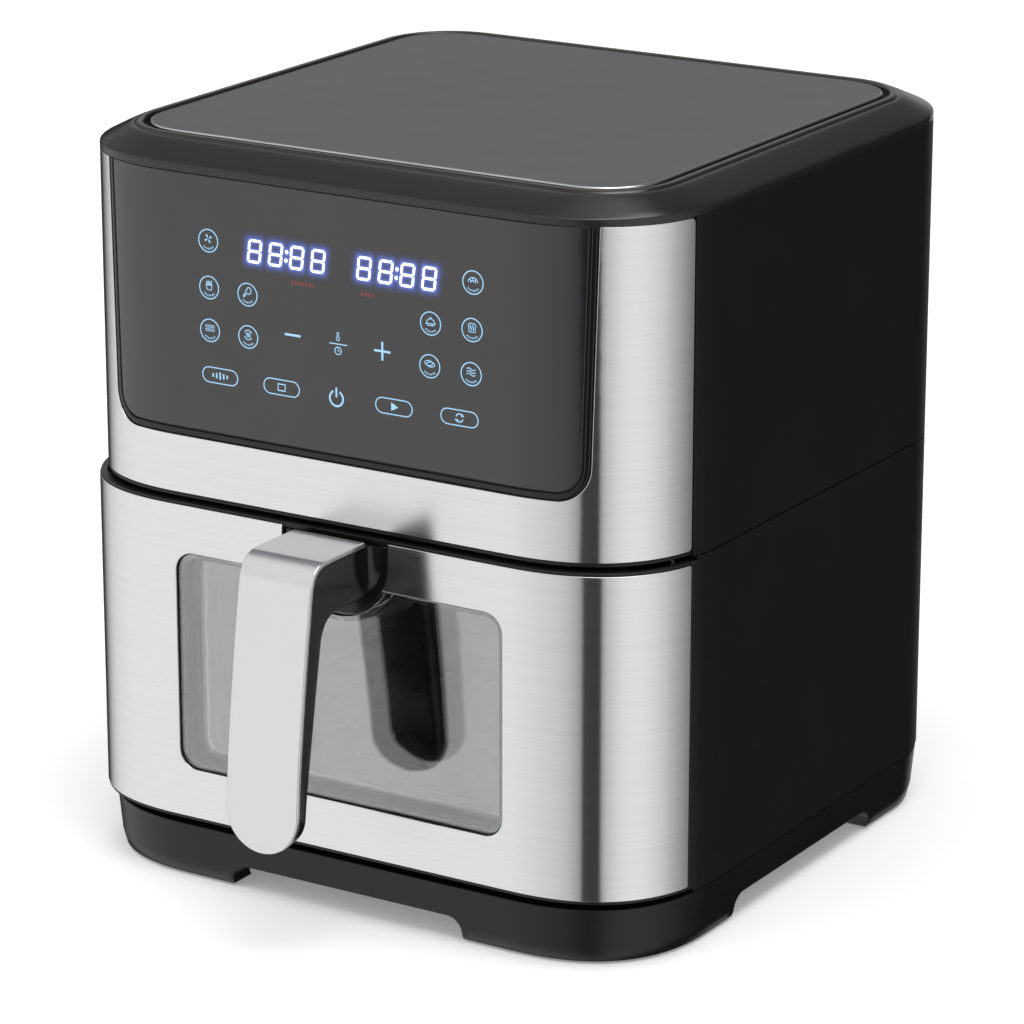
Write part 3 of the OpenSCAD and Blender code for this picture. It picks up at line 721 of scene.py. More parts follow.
def cut_edge(g, top, open_top=True):
    """edge of the joined window and handle-plate opening, grown by g, right to left"""
    r = UR + g
    zt = ZW + g
    xn = math.sqrt(r * r - (ZC - zt) ** 2)
    a = math.degrees(math.atan2(zt - ZC, xn))
    rw = 9.0 + g
    pts = [(r, top), (r, ZC)] + arc(0, ZC, r, 0, a, 12)[1:]
    pts += arc(W1 + g - rw, zt - rw, rw, 90, 0, 12) + arc(W1 + g - rw, ZB - g + rw, rw, 0, -90, 12)
    pts += arc(W0 - g + rw, ZB - g + rw, rw, 270, 180, 12) + arc(W0 - g + rw, zt - rw, rw, 180, 90, 12)
    pts += arc(0, ZC, r, 180 - a, 180, 12)[:-1] + [(-r, ZC), (-r, top)]
    return pts


def skin_poly(s_end, z0, z1, g, rc=1.0):
    pts = arc(-s_end + rc, z0 + rc, rc, 180, 270, 4) + arc(s_end - rc, z0 + rc, rc, 270, 360, 4) + arc(s_end - rc, z1 - rc, rc, 0, 90, 4)
    pts += cut_edge(g, z1) + arc(-s_end + rc, z1 - rc, rc, 90, 180, 4)
    return pts


ob = sheet("steel_skin_drawer", pd.wrap(0.02), skin_poly(SD, 31.0, 173.0, 0.0), [], 0.9, 0.28, M["steel"], step=1.5, grid=(1.8, 14.0))
done(ob, "drawer", "brushed_steel", "drawer_steel_skin")
hole = cut_edge(-0.2, 171.9)
ob = sheet("drawer_frame_shell", pd.wrap(1.0), rrect(-SF + 0.4, SF - 0.4, 29.6, 174.2, 0.6, 3), [hole], 2.6, 0.25, M["frame"], step=2.0, grid=(2.6, 14.0))
done(ob, "drawer", "black_plastic", "drawer_front_frame")
for sg, nm in ((1, "r"), (-1, "l")):
    a0, a1 = sorted((sg * (SD + 0.45), sg * SF))
    ob = sheet("drawer_edge_" + nm, pd.wrap(0.25), rrect(a0, a1, 29.7, 174.2, 0.6, 4), [], 3.2, 0.6, M["frame"], step=1.5)
    done(ob, "drawer", "black_plastic", "drawer_front_frame")
ob = sheet("drawer_lip_top", pd.wrap(0.45), rrect(-SD, SD, 173.2, 174.3, 0.3, 2), [], 3.0, 0.3, M["frame"], step=1.5, grid=(2.0, 9.0))
done(ob, "drawer", "black_plastic", "drawer_front_frame")
ob = sheet("drawer_lip_bottom", pd.wrap(0.45), rrect(-SD, SD, 29.6, 30.8, 0.3, 2), [], 3.0, 0.3, M["frame"], step=1.5, grid=(2.0, 9.0))
done(ob, "drawer", "black_plastic", "drawer_front_frame")


def flange_poly(path, inset, y_end):
    pts = []
    s = -path.s_y(y_end)
    e = path.s_y(y_end)
    n = 120
    for i in range(n + 1):
        x, y, nx, ny = path.at(s + (e - s) * i / n)
        pts.append((x - nx * inset, min(y_end, y - ny * inset)))
    return pts


ob = sheet("drawer_flange_top", planar_z(174.1), flange_poly(pd, 2.2, 21.0), [], 2.0, 0.25, M["frame"], step=3.0)
done(ob, "drawer", "black_plastic", "drawer_front_frame")
ob = sheet("drawer_flange_bottom", planar_z(31.8), flange_poly(pd, 2.2, 21.0), [], 2.0, 0.25, M["frame"], step=3.0)
done(ob, "drawer", "black_plastic", "drawer_front_frame")


def wshape(i, rn):
    """window outline inset by i with a round notch of radius rn for the handle plate"""
    z1 = ZW - i
    r = max(1.0, 9.0 - i * 0.85)
    xn = math.sqrt(max(1e-3, rn * rn - (ZC - z1) ** 2))
    a = math.degrees(math.atan2(z1 - ZC, xn))
    pts = arc(W0 + i + r, ZB + i + r, r, 180, 270, 10) + arc(W1 - i - r, ZB + i + r, r, 270, 360, 10)
    pts += arc(W1 - i - r, z1 - r, r, 0, 90, 10) + arc(0, ZC, rn, a, -180 - a, 30) + arc(W0 + i + r, z1 - r, r, 90, 180, 10)
    return pts


def planar_y(y0):
    return lambda x, z, d: xyz(x, y0 + d, z)


ob = sheet("window_pane_outer", planar_y(1.3), wshape(0.35, 27.3), [], 2.2, 0.5, M["glass"], step=2.0)
done(ob, "drawer", "window_clear", "window_outer")
ob = sheet("window_rim_clear", planar_y(3.6), wshape(0.5, 27.5), [wshape(3.0, 30.2)], 18.2, 0.45, M["clearedge"], step=2.0)
done(ob, "drawer", "window_clear", "window_tunnel")
ob = sheet("window_pane_inner", planar_y(9.6), wshape(3.3, 30.6), [], 2.6, 0.4, M["glass2"], step=2.0)
done(ob, "drawer", "window_clear", "window_inner")


# ------------------------------------------------------------------ handle
def smooth_path(pts, n):
    """Catmull-Rom through pts, resampled evenly"""
    P = [np.array(p, float) for p in pts]
    P = [2 * P[0] - P[1]] + P + [2 * P[-1] - P[-2]]
    out = []
    for i in range(1, len(P) - 2):
        for k in range(16):
            t = k / 16
            a, b, c, d = P[i - 1], P[i], P[i + 1], P[i + 2]
            out.append(0.5 * (2 * b + (c - a) * t + (2 * a - 5 * b + 4 * c - d) * t * t + (3 * b - a - 3 * c + d) * t ** 3))
    out.append(P[-2])
    out = np.array(out)
    s = np.concatenate([[0], np.cumsum(np.linalg.norm(np.diff(out, axis=0), axis=1))])
    q = np.linspace(0, s[-1], n)
    return np.column_stack([np.interp(q, s, out[:, 0]), np.interp(q, s, out[:, 1])]), q


cover_line = [(-3.6, 173.6), (-14, 173.6), (-25, 173.6), (-32, 173.5), (-36.5, 172.8), (-40.3, 170.6), (-42.8, 167.2), (-44.3, 162.5), (-46.2, 151), (-48.7, 135),
              (-51.6, 114), (-54.2, 93), (-56.0, 74), (-56.9, 60), (-57.3, 49.0)]
cl, cs = smooth_path(cover_line, 240)
CT = np.gradient(cl, cs, axis=0)
CT /= np.linalg.norm(CT, axis=1, keepdims=True)
CN = np.column_stack([-CT[:, 1], CT[:, 0]])          # towards the outside (front and up)
if CN[0, 1] < 0:
    CN = -CN
CL = cs[-1]


def cover_map(x, v, d):
    q = CL - v                                         # v runs upwards from the tip
    y = np.interp(q, cs, cl[:, 0])
    z = np.interp(q, cs, cl[:, 1])
    ny = np.interp(q, cs, CN[:, 0])
    nz = np.interp(q, cs, CN[:, 1])
    l = np.hypot(ny, nz)
    return xyz(x, y - ny / l * d, z - nz / l * d)


HW = 18.0
poly = arc(0, HW, HW, 180, 360, 36) + [(HW, CL), (-HW, CL)]
ob = sheet("handle_face", cover_map, poly, [], 2.4, 0.7, M["silver"], step=1.2, grid=(4.0, 1.6))
done(ob, "drawer", "silver_paint", "handle_cover")

# grip: sections from the plate, along the arm, down to the tip
front = [cover_map(0, v, 2.35)[1:] for v in np.linspace(CL, 0, 90)]
rear_pts = [(-3.6, 148.0), (-9, 148.3), (-16, 148.3), (-22, 148.2), (-27, 147.4), (-31.2, 145.3), (-34.2, 141.8), (-36.0, 137.4), (-37.7, 128), (-39.6, 117), (-42.2, 101), (-44.7, 85),
            (-47.4, 68), (-49.0, 57.5), (-50.0, 50.5)]
rl, rs = smooth_path(rear_pts, 90)


def section(f, r, hw, n=7, rr=3.6, fr=0.7):
    """rounded box between front point f and rear point r, half width hw"""
    f = np.array(f)
    r = np.array(r)
    d = np.linalg.norm(r - f)
    e = (r - f) / max(d, 1e-6)
    rr_ = min(rr, d * 0.42, hw * 0.5)
    fr_ = min(fr, d * 0.2, hw * 0.4)
    pl = arc(hw - fr_, fr_, fr_, 270, 360, 3) + arc(hw - rr_, d - rr_, rr_, 0, 90, n) + arc(-hw + rr_, d - rr_, rr_, 90, 180, n) + arc(-hw + fr_, fr_, fr_, 180, 270, 3)
    return [(x, f[0] + e[0] * k, f[1] + e[1] * k) for x, k in pl]


rings = []
zs = []
tip_start = HW
tot = CL
for i in range(90):
    v = CL * (1 - i / 89.0)
    if v < HW:
        hw = math.sqrt(max(0.0, HW * HW - (HW - v) ** 2))
    else:
        hw = HW
    hw = max(hw - 0.25, 0.35)
    t = i / 89.0
    f = front[i]
    r = (float(np.interp(t, np.linspace(0, 1, 90), rl[:, 0])), float(np.interp(t, np.linspace(0, 1, 90), rl[:, 1])))
    if v < 6:
        k = 1 - 0.18 * (1 - v / 6)
        r = (f[0] + (r[0] - f[0]) * k, f[1] + (r[1] - f[1]) * k)
    rings.append(section(f, r, hw))
# neck: from the mounting plate to the arm, with a hollow fillet


def plate_ring(r, y, top, n_total):
    """half-round plate outline at depth y resampled to n_total points, starting top right, clockwise like the sections"""
    pts = [(-r, top), (r, top)]
    pts = [(r, top)] + arc(0, ZC, r, 0, -180, 40) + [(-r, top)]
    P = np.array(pts)
    s = np.concatenate([[0], np.cumsum(np.linalg.norm(np.diff(P, axis=0), axis=1))])
    q = np.linspace(0, s[-1], n_total)
    return [(float(np.interp(a, s, P[:, 0])), y, float(np.interp(a, s, P[:, 1]))) for a in q]


n_sec = len(rings[0])
base_sec = rings[0]
neck = []
for y, w in [(1.0, 0.0), (0.4, 0.18), (-0.2, 0.42), (-0.9, 0.66), (-1.7, 0.84), (-2.6, 0.95)]:
    pr = plate_ring(22.6 - 1.2 * w, y, 171.4, n_sec)
    sec = [(x, y, z) for x, _, z in base_sec]
    neck.append([(a[0] * (1 - w) + b[0] * w, y, a[2] * (1 - w) + b[2] * w) for a, b in zip(pr, sec)])
grip_rings = [[(x * 0.98, 2.6, z) for x, _, z in neck[0]]] + neck + rings
ob = loft("handle_grip_body", grip_rings, M["gloss"], sharp=50, cap=(True, True))
done(ob, "drawer", "black_gloss", "handle_grip")

up = [(UR - 0.35, 171.5), (UR - 0.35, ZC)] + arc(0, ZC, UR - 0.35, 0, -180, 40)[1:] + [(-UR + 0.35, 171.5)]
ob = sheet("handle_plate", planar_y(1.5), list(reversed(up)), [], 6.0, 0.9, M["gloss"], step=1.5)
done(ob, "drawer", "black_gloss", "handle_mount")


# ------------------------------------------------------------------ printed marks
class Ink:
    def __init__(self, lift=0.06, depth=0.30):
        self.v = []
        self.f = []
        self.fn = pu.wrap(depth)
        self.lift = lift

    def pt(self, x, z):
        s = math.copysign(pu.s_x(abs(x)), x)
        self.v.append(p3(*self.fn(s, z, -self.lift)))
        return len(self.v) - 1

    def stroke(self, pts, w, closed=False):
        P = np.array(pts, float)
        n = len(P)
        idx = []
        for i in range(n):
            if closed:
                a, b = P[i - 1], P[(i + 1) % n]
            else:
                a, b = P[max(0, i - 1)], P[min(n - 1, i + 1)]
            t = b - a
            t /= max(1e-9, np.linalg.norm(t))
            m = np.array([-t[1], t[0]]) * w / 2
            idx.append((self.pt(*(P[i] + m)), self.pt(*(P[i] - m))))
        for i in range(n if closed else n - 1):
            j = (i + 1) % n
            self.f.append((idx[i][0], idx[i][1], idx[j][1], idx[j][0]))

    def fill(self, pts):
        ids = [self.pt(x, z) for x, z in pts]
        self.f.append(tuple(ids))

    def circle(self, cx, cz, r, w, n=56):
        self.stroke(arc(cx, cz, r, 0, 360 * (n - 1) / n, n - 1), w, True)

    def disc(self, cx, cz, r, n=20):
        self.fill(arc(cx, cz, r, 0, 360 * (n - 1) / n, n - 1))

    def build(self, name, mat, slot):
        ob = add_mesh(name, self.v, self.f, mat, smooth=False)
        bm = bmesh.new()
        bm.from_mesh(ob.data)
        for f in bm.faces:
            f.normal_update()
            if f.normal.y > 0:
                f.normal_flip()
        bm.to_mesh(ob.data)
        bm.free()
        md = ob.modifiers.new("thick", "SOLIDIFY")
        md.thickness = 0.00005
        md.offset = -1.0
        return done(ob, "housing", slot)


ink = Ink()
LW = 0.38


def icon_fan(x, z):
    for k in range(4):
        a = math.radians(90 * k + 20)
        c, s = math.cos(a), math.sin(a)
        pts = []
        for u, v in [(0.25, 0), (0.9, 0.55), (1.75, 0.6), (2.15, 0.15), (1.7, -0.15), (0.9, -0.1)]:
            pts.append((x + u * c - v * s, z + u * s + v * c))
        ink.fill(pts)


def icon_wave(x, z, n=3, horiz=True, amp=0.45, length=4.2, gap=1.15):
    for k in range(n):
        o = (k - (n - 1) / 2) * gap
        pts = []
        for i in range(17):
            t = i / 16
            a = amp * math.sin(t * math.tau)
            pts.append((x - length / 2 + length * t, z + o + a) if horiz else (x + o + a, z - length / 2 + length * t))
        ink.stroke(pts, LW)


def icon_cup(x, z):
    ink.stroke([(x - 1.5, z + 0.2), (x - 1.1, z - 1.9), (x + 1.1, z - 1.9), (x + 1.5, z + 0.2)], LW)
    ink.stroke([(x - 1.6, z + 0.2), (x + 1.6, z + 0.2)], LW)
    for k, h in ((-1.1, 1.6), (-0.4, 2.1), (0.35, 1.8), (1.05, 2.2)):
        ink.stroke([(x + k, z + 0.3), (x + k * 1.15, z + h)], 0.5)


def icon_leg(x, z):
    a = [(x + 0.7 + 1.25 * math.cos(t) * 0.9, z + 0.8 + 1.45 * math.sin(t)) for t in np.linspace(-2.3, 2.9, 20)]
    ink.stroke(a, LW)
    ink.stroke([a[0], (x - 1.3, z - 1.5)], LW)
    ink.stroke([a[-1], (x - 1.7, z - 1.1)], LW)
    ink.circle(x - 1.75, z - 1.6, 0.42, 0.36, 14)


def icon_rows(x, z):
    for r in (0.9, -0.7):
        for k in range(3):
            xx = x - 1.6 + 1.6 * k
            ink.stroke([(xx - 0.62, z + r - 0.45), (xx + 0.62, z + r - 0.45), (xx + 0.62, z + r + 0.45), (xx - 0.62, z + r + 0.45)], 0.3, True)


def icon_swirl(x, z):
    ink.stroke(arc(x, z, 2.0, 20, 150, 12), LW)
    ink.stroke(arc(x, z, 2.0, 200, 330, 12), LW)
    icon_wave(x, z, 3, False, 0.2, 1.9, 0.75)


def icon_dome(x, z):
    ink.stroke(arc(x, z - 0.9, 2.0, 0, 180, 16), LW)
    ink.stroke([(x - 2.5, z - 1.0), (x + 2.5, z - 1.0)], LW)
    ink.stroke([(x - 1.7, z - 1.7), (x + 1.7, z - 1.7)], LW)
    ink.disc(x, z + 1.5, 0.42, 12)


def icon_toast(x, z):
    ink.stroke([(x - 1.5, z - 1.8), (x - 1.5, z + 0.4), (x - 1.9, z + 1.1), (x - 1.2, z + 1.8), (x + 1.2, z + 1.8), (x + 1.9, z + 1.1), (x + 1.5, z + 0.4), (x + 1.5, z - 1.8)], LW, True)
    icon_wave(x, z, 2, False, 0.22, 2.2, 1.1)


def icon_crescent(x, z):
    ink.stroke(arc(x, z - 1.2, 2.4, 10, 170, 16), LW)
    ink.stroke(arc(x, z - 1.7, 1.5, 25, 155, 12), LW)
    for a in (50, 90, 130):
        t = math.radians(a)
        ink.stroke([(x + 1.35 * math.cos(t), z - 1.5 + 1.35 * math.sin(t)), (x + 2.35 * math.cos(t), z - 1.2 + 2.35 * math.sin(t))], 0.34)


def icon_slices(x, z):
    for k in range(3):
        ink.circle(x - 1.35 + 1.35 * k, z + 0.5 - 0.35 * k, 1.05, 0.36, 22)


def icon_oval(x, z):
    for o in (0, 1):
        pts = [(x - 0.5 + o + 1.9 * math.cos(t), z + 0.4 - 0.5 * o + 1.05 * math.sin(t)) for t in np.linspace(0, math.tau, 29)[:-1]]
        ink.stroke(pts, 0.36, True)


R_IC = 4.85
left = [(-64, 290.4, icon_fan), (-64, 270.2, icon_cup), (-64, 251.6, icon_rows), (-44.4, 269.8, icon_leg), (-44.4, 251.5, icon_swirl)]
right = [(67, 290.1, icon_crescent), (66.5, 270.2, icon_toast), (66, 251.6, icon_wave), (46.5, 270.1, icon_dome), (46, 252.0, icon_oval)]
for x, z, fn in left + right:
    ink.circle(x, z, R_IC, 0.46)
    fn(x, z + 0.9)
    for k in range(-3, 4):                       # short ticks along the lower rim instead of a word
        a = math.radians(270 + k * 14)
        ink.stroke([(x + 3.05 * math.cos(a), z + 3.05 * math.sin(a)), (x + 3.85 * math.cos(a), z + 3.85 * math.sin(a))], 0.36)


def pill(cx, cz, w=18.0, h=6.6):
    r = h / 2
    ink.stroke(arc(cx + w / 2 - r, cz, r, -90, 90, 16) + arc(cx - w / 2 + r, cz, r, 90, 270, 16), 0.46, True)


for cx, cz in ((-59.2, 232.3), (-27.8, 232.0), (28.3, 232.0), (60.3, 232.2)):
    pill(cx, cz)
# flame bars, stop, play and turn marks
for k in range(5):
    hgt = (1.0, 1.8, 2.6, 1.8, 1.0)[k]
    ink.stroke([(-59.2 - 3.6 + 1.8 * k, 232.3 - hgt / 2 - 0.3), (-59.2 - 3.6 + 1.8 * k, 232.3 + hgt / 2 + 0.3)], 0.75)
ink.stroke([(-29.6, 230.6), (-26.0, 230.6), (-26.0, 233.4), (-29.6, 233.4)], 0.6, True)
ink.fill([(27.0, 230.2), (30.4, 232.0), (27.0, 233.8)])
ink.stroke(arc(60.3, 232.2, 1.7, 30, 165, 10), 0.5)
ink.stroke(arc(60.3, 232.2, 1.7, 210, 345, 10), 0.5)
ink.fill([(61.0, 232.7), (62.6, 232.9), (61.6, 234.1)])
ink.fill([(59.6, 231.7), (58.0, 231.5), (59.0, 230.3)])
# minus and plus
ink.fill([(-25.8, 255.0), (-17.8, 255.0), (-17.8, 256.0), (-25.8, 256.0)])
ink.fill([(18.8, 254.5), (26.8, 254.5), (26.8, 255.45), (18.8, 255.45)])
ink.fill([(22.35, 251.0), (23.3, 251.0), (23.3, 254.5), (22.35, 254.5)])
ink.fill([(22.35, 255.45), (23.3, 255.45), (23.3, 259.0), (22.35, 259.0)])
# thermometer over clock with a bar between
ink.stroke([(-3.4, 254.9), (5.4, 254.9)], 0.45)
ink.stroke(arc(0.9, 257.1, 0.75, 120, 420, 12), 0.38)
ink.stroke([(0.52, 257.8), (0.52, 259.9), (1.28, 259.9), (1.28, 257.8)], 0.34)
ink.circle(0.9, 252.0, 1.6, 0.38, 26)
ink.stroke([(0.9, 253.0), (0.9, 252.0), (1.7, 251.6)], 0.34)
# power mark
ink.stroke(arc(-0.2, 231.4, 3.3, 118, 422, 34), 0.85)
ink.fill([(-0.62, 231.9), (0.22, 231.9), (0.22, 236.0), (-0.62, 236.0)])
ink.build("panel_marks", M["icon"], "display")

red = Ink()
for x0, n in ((-22.0, 7), (12.5, 4)):
    for k in range(n):
        x = x0 + 1.75 * k
        z = 278.1 if x0 < 0 else 277.9
        red.fill([(x, z - 0.75), (x + 1.1, z - 0.75), (x + 1.1, z + 0.75), (x, z + 0.75)])
red.build("panel_marks_red", M["red"], "display")

# seven-segment digits and their glow
dig = Ink(lift=0.07)
SL = math.tan(math.radians(6.5))
HALO = []


def seg(x0, z0, a, b, w=1.02):
    """one lit bar from a to b in digit space, pointed at both ends"""
    a = np.array(a, float)
    b = np.array(b, float)
    t = (b - a) / np.linalg.norm(b - a)
    m = np.array([-t[1], t[0]]) * w / 2
    k = t * w / 2
    pts = [a, a + k + m, b - k + m, b, b - k - m, a + k - m]
    q = [(x0 + p[0] + p[1] * SL, z0 + p[1]) for p in pts]
    dig.fill(q)
    HALO.append(q)


def digit(x0, z0, w=5.9, h=9.1):
    g = 0.22
    y = h / 2
    for a, b in (((g, 0), (w - g, 0)), ((g, y), (w - g, y)), ((g, h), (w - g, h)), ((0, g), (0, y - g)), ((0, y + g), (0, h - g)), ((w, g), (w, y - g)), ((w, y + g), (w, h - g))):
        seg(x0, z0, a, b)


for start in (-43.9, 10.7):
    z0 = 284.3
    for k in range(4):
        digit(start + 10.6 * k, z0)
    for zz in (z0 + 2.7, z0 + 6.4):
        cx = start + 10.6 * 2 - 2.25 + (zz - z0) * SL
        dig.disc(cx, zz, 0.78, 16)
        HALO.append(arc(cx, zz, 0.6, 0, 330, 11))
dig.build("display_digits", M["digit"], "display")


def halo_patch(name, x0, x1, z0, z1, cell):
    """panel surface round one group of digits, with a glow that falls off with the distance to the nearest lit bar"""
    segs = []
    for q in HALO:
        q = np.array(q, float)
        c = q.mean(axis=0)
        if x0 < c[0] < x1 and z0 < c[1] < z1:
            far = q[np.argsort(-np.linalg.norm(q - c, axis=1))[:1]][0]
            segs.append((far, 2 * c - far))
    A = np.array([a for a, _ in segs])
    B = np.array([b for _, b in segs])
    nx, nz = int((x1 - x0) / cell) + 1, int((z1 - z0) / cell) + 1
    gx, gz = np.linspace(x0, x1, nx), np.linspace(z0, z1, nz)
    P = np.array([(x, z) for z in gz for x in gx])
    ab = B - A
    t = np.clip(((P[:, None] - A) * ab).sum(-1) / np.maximum(1e-9, (ab * ab).sum(-1)), 0, 1)
    d = np.linalg.norm(P[:, None] - (A + t[..., None] * ab), axis=-1).min(axis=1)
    g = np.exp(-d / 0.75) * 0.85 + np.exp(-(d / 2.1) ** 2) * 0.30
    edge = np.minimum(np.minimum(P[:, 0] - x0, x1 - P[:, 0]), np.minimum(P[:, 1] - z0, z1 - P[:, 1]))
    g *= np.clip(edge / 2.0, 0, 1)
    fn = pu.wrap(0.30)
    lift = 0.06 - 0.085 * np.clip(edge / 3.0, 0, 1) ** 0.9
    V = [p3(*fn(math.copysign(pu.s_x(abs(x)), x), z, k)) for (x, z), k in zip(P, lift)]
    F = [(j * nx + i, j * nx + i + 1, (j + 1) * nx + i + 1, (j + 1) * nx + i) for j in range(nz - 1) for i in range(nx - 1)]
    ob = add_mesh(name, V, F, M["halo"])
    at = ob.data.color_attributes.new("glow", "FLOAT_COLOR", "POINT")
    at.data.foreach_set("color", np.repeat(g[:, None], 4, axis=1).astype(np.float32).ravel())
    md = ob.modifiers.new("thick", "SOLIDIFY")
    md.thickness = 0.00002
    md.offset = -1.0
    return done(ob, "housing", "panel_glass")


M["halo"] = plastic("panel_glow", (0.0100, 0.0100, 0.0120), (0.0125, 0.0125, 0.0145), 0.12, rvar=0.01, spec=0.86, grain=1500, gstr=0.004)
hn = M["halo"].node_tree
hb = next(n for n in hn.nodes if n.type == "BSDF_PRINCIPLED")
ha = hn.nodes.new("ShaderNodeVertexColor")
ha.layer_name = "glow"
hr = hn.nodes.new("ShaderNodeValToRGB")
hr.color_ramp.elements[0].color = (0, 0, 0, 1)
hr.color_ramp.elements[1].color = (0.22, 0.34, 1.0, 1)
he = hr.color_ramp.elements.new(0.45)
he.color = (0.045, 0.085, 0.42, 1)
hn.links.new(ha.outputs["Color"], hr.inputs["Fac"])
hn.links.new(hr.outputs["Color"], hb.inputs["Emission Color"])
hb.inputs["Emission Strength"].default_value = 1.0
halo_patch("display_glow_left", -49.5, 3.0, 278.5, 299.5, 0.42)
halo_patch("display_glow_right", 5.0, 57.5, 278.5, 299.5, 0.42)

# ------------------------------------------------------------------ CAD nodes that stay: materials
keep = {"rubber_feet": "rubber", "housing_screws": "zinc", "rear_vent": "side", "cord_gland": "rubber", "cavity_liner": "sheetmetal", "chamber_deck": "sheetmetal",
        "fan_shroud": "sheetmetal", "heating_element": "tube", "element_guard": "tube", "temperature_sensor": "zinc", "motor": "motor", "motor_bracket": "sheetmetal",
        "drawer_switch": "white", "power_board": "pcb", "control_board": "pcb", "display_modules": "white", "motor_shaft": "zinc", "hot_air_fan": "sheetmetal",
        "fan_nut": "zinc", "cooling_fan": "frame", "basket": "coat", "basket_screws": "zinc", "handle_screws": "zinc", "crisper_plate": "coat", "crisper_bumpers": "silicone"}
for n, k in keep.items():
    me = NODES[n].data
    me.materials.clear()
    me.materials.append(M[k])

# ------------------------------------------------------------------ stage, light, camera
fm, nt, b = nodes_of("floor_pale")
v = coord(nt, (1, 1, 1))
nt.links.new(mixcol(nt, remap(nt, noise(nt, v, 3.0, 3), 0, 1), (0.86, 0.86, 0.86), (0.88, 0.88, 0.88)), b.inputs["Base Color"])
b.inputs["Roughness"].default_value = 0.9
b.inputs["Specular IOR Level"].default_value = 0.1
b.inputs["Emission Color"].default_value = (1, 1, 1, 1)
b.inputs["Emission Strength"].default_value = 0.22
fv = [(-6, -6, 0), (6, -6, 0), (6, 6, 0), (-6, 6, 0)]
floor = add_mesh("floor", [Vector(q) for q in fv], [(0, 1, 2, 3)], fm, smooth=False)
floor.visible_glossy = False

world = bpy.data.worlds.new("studio")
scene.world = world
world.use_nodes = True
nt = world.node_tree
nt.nodes.clear()
out = nt.nodes.new("ShaderNodeOutputWorld")
bg = nt.nodes.new("ShaderNodeBackground")
bgc = nt.nodes.new("ShaderNodeBackground")
mixs = nt.nodes.new("ShaderNodeMixShader")
lp = nt.nodes.new("ShaderNodeLightPath")
tc = nt.nodes.new("ShaderNodeTexCoord")
sep = nt.nodes.new("ShaderNodeSeparateXYZ")
nt.links.new(tc.outputs["Generated"], sep.inputs[0])
neg = nt.nodes.new("ShaderNodeMath")
neg.operation = "MULTIPLY"
neg.inputs[1].default_value = -1.0
nt.links.new(sep.outputs["Y"], neg.inputs[0])
at = nt.nodes.new("ShaderNodeMath")
at.operation = "ARCTAN2"
nt.links.new(sep.outputs["X"], at.inputs[0])
nt.links.new(neg.outputs[0], at.inputs[1])
mr = nt.nodes.new("ShaderNodeMapRange")
mr.inputs["From Min"].default_value = -math.pi
mr.inputs["From Max"].default_value = math.pi
nt.links.new(at.outputs[0], mr.inputs["Value"])


def around(stops):
    ramp = nt.nodes.new("ShaderNodeValToRGB")
    nt.links.new(mr.outputs["Result"], ramp.inputs["Fac"])
    el = ramp.color_ramp.elements
    while len(el) > 1:
        el.remove(el[0])
    el[0].position = 0.0
    el[0].color = (stops[0][1],) * 3 + (1,)
    for a_, c_ in stops[1:]:
        e_ = el.new((a_ + 180) / 360)
        e_.color = (c_, c_, c_, 1)
    return ramp.outputs["Color"]


def level(lo, hi):
    m = nt.nodes.new("ShaderNodeMapRange")
    m.interpolation_type = "SMOOTHSTEP"
    m.inputs["From Min"].default_value = math.sin(math.radians(lo))
    m.inputs["From Max"].default_value = math.sin(math.radians(hi))
    nt.links.new(sep.outputs["Z"], m.inputs["Value"])
    return m.outputs["Result"]


low = around([(-180, 0.40), (-168, 0.62), (-158, 0.50), (-150, 0.04), (-122, 0.04), (-112, 0.35), (-103, 0.62), (-93, 0.82), (-80, 0.93), (-60, 0.99), (-40, 1.0), (-31, 0.96), (-21, 0.86), (-12, 0.80), (-3, 0.72),
              (5, 0.62), (10, 0.50), (14.6, 0.36), (16.0, 0.05), (31.6, 0.03), (33.6, 0.38), (38, 0.62), (45, 0.76), (52, 0.88), (64, 0.96), (76, 0.93), (86, 0.85), (97, 0.72), (108, 0.52), (120, 0.32), (132, 0.10), (144, 0.012)])
mid = around([(-180, 0.10), (-166, 0.20), (-157, 0.42), (-149, 0.56), (-141, 0.50), (-130, 0.26), (-114, 0.26), (-95, 0.75), (-60, 0.85), (-30, 0.85), (10, 0.8), (40, 0.8), (75, 0.8), (105, 0.5), (130, 0.2), (150, 0.10), (170, 0.09)])


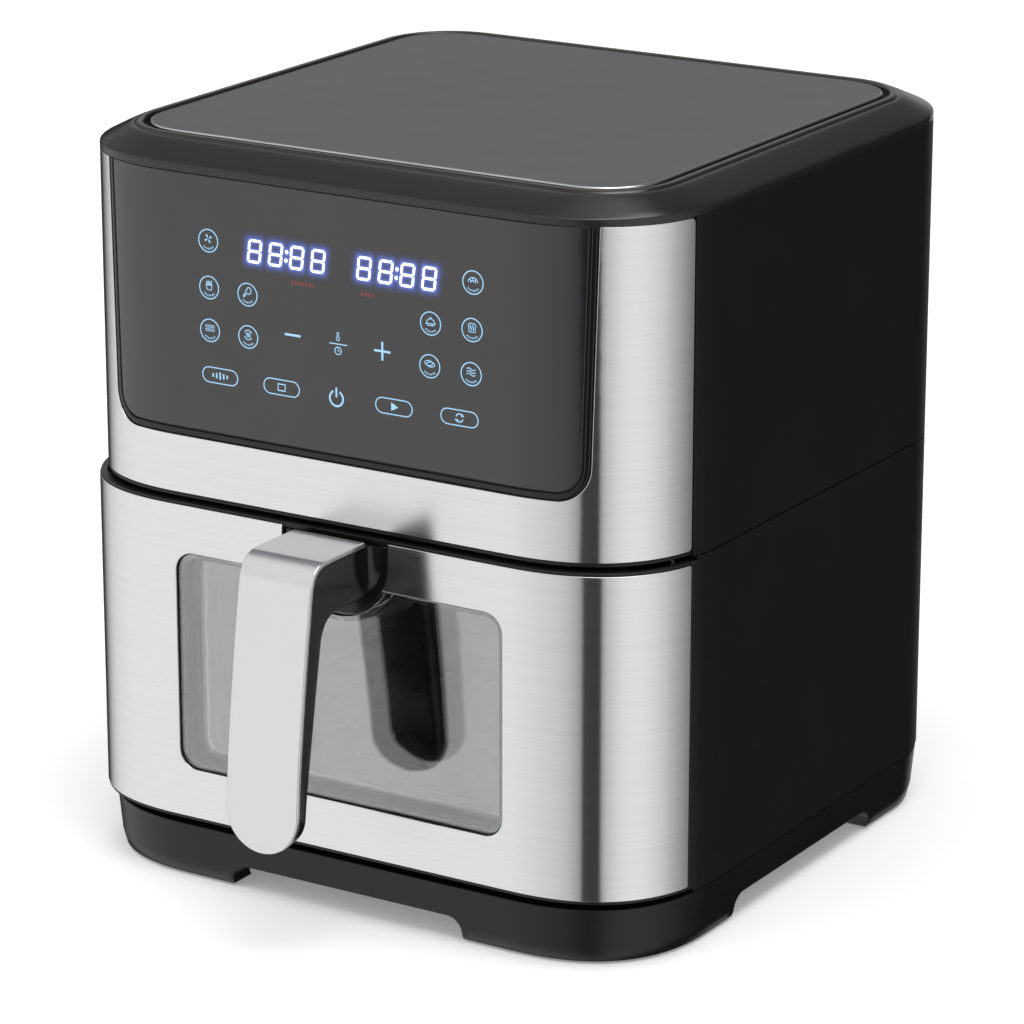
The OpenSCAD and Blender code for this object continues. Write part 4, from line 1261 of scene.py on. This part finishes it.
def mixrgb(fac, c0, c1):
    m = nt.nodes.new("ShaderNodeMix")
    m.data_type = "RGBA"
    nt.links.new(fac, m.inputs[0])
    nt.links.new(c0, m.inputs[6])
    if isinstance(c1, tuple):
        m.inputs[7].default_value = c1
    else:
        nt.links.new(c1, m.inputs[7])
    return m.outputs[2]


sky = mixrgb(level(5, 13), low, mid)
high = around([(-180, 1.6), (-120, 0.4), (-60, 0.45), (-20, 2.2), (20, 4.5), (70, 5.5), (110, 5.0), (150, 3.0)])
sky = mixrgb(level(56, 66), sky, high)
nt.links.new(sky, bg.inputs["Color"])
bg.inputs["Strength"].default_value = 1.0
bgc.inputs["Color"].default_value = (1, 1, 1, 1)
nt.links.new(lp.outputs["Is Camera Ray"], mixs.inputs[0])
nt.links.new(bg.outputs[0], mixs.inputs[1])
nt.links.new(bgc.outputs[0], mixs.inputs[2])
nt.links.new(mixs.outputs[0], out.inputs["Surface"])


def area(name, loc, target, size, power, color=(1, 1, 1)):
    l = bpy.data.lights.new(name, "AREA")
    l.shape = "RECTANGLE"
    l.size, l.size_y = size
    l.energy = power
    l.color = color
    o = bpy.data.objects.new(name, l)
    root_col.objects.link(o)
    o.location = loc
    d = Vector(target) - Vector(loc)
    o.rotation_euler = d.to_track_quat("-Z", "Y").to_euler()
    o.visible_glossy = False
    return o


area("top_soft", (-0.5, -0.4, 1.8), (0, 0, 0.2), (1.8, 1.8), 6)

cam_d = bpy.data.cameras.new("camera")
cam = bpy.data.objects.new("camera", cam_d)
root_col.objects.link(cam)
yaw, pitch = math.radians(31.836), math.radians(17.304)
fwd = Vector((-math.sin(yaw) * math.cos(pitch), math.cos(yaw) * math.cos(pitch), -math.sin(pitch)))
rgt = Vector((math.cos(yaw), math.sin(yaw), 0))
upv = rgt.cross(fwd)
cam.matrix_world = Matrix(((rgt.x, upv.x, -fwd.x, 1.01542), (rgt.y, upv.y, -fwd.y, -1.61537), (rgt.z, upv.z, -fwd.z, 0.74534), (0, 0, 0, 1)))
cam_d.sensor_width = 36.0
cam_d.lens = 159.2
cam_d.clip_start = 0.05
cam_d.clip_end = 50
scene.camera = cam
scene.view_settings.view_transform = "Standard"
scene.view_settings.look = "None"
scene.view_settings.exposure = 0.0
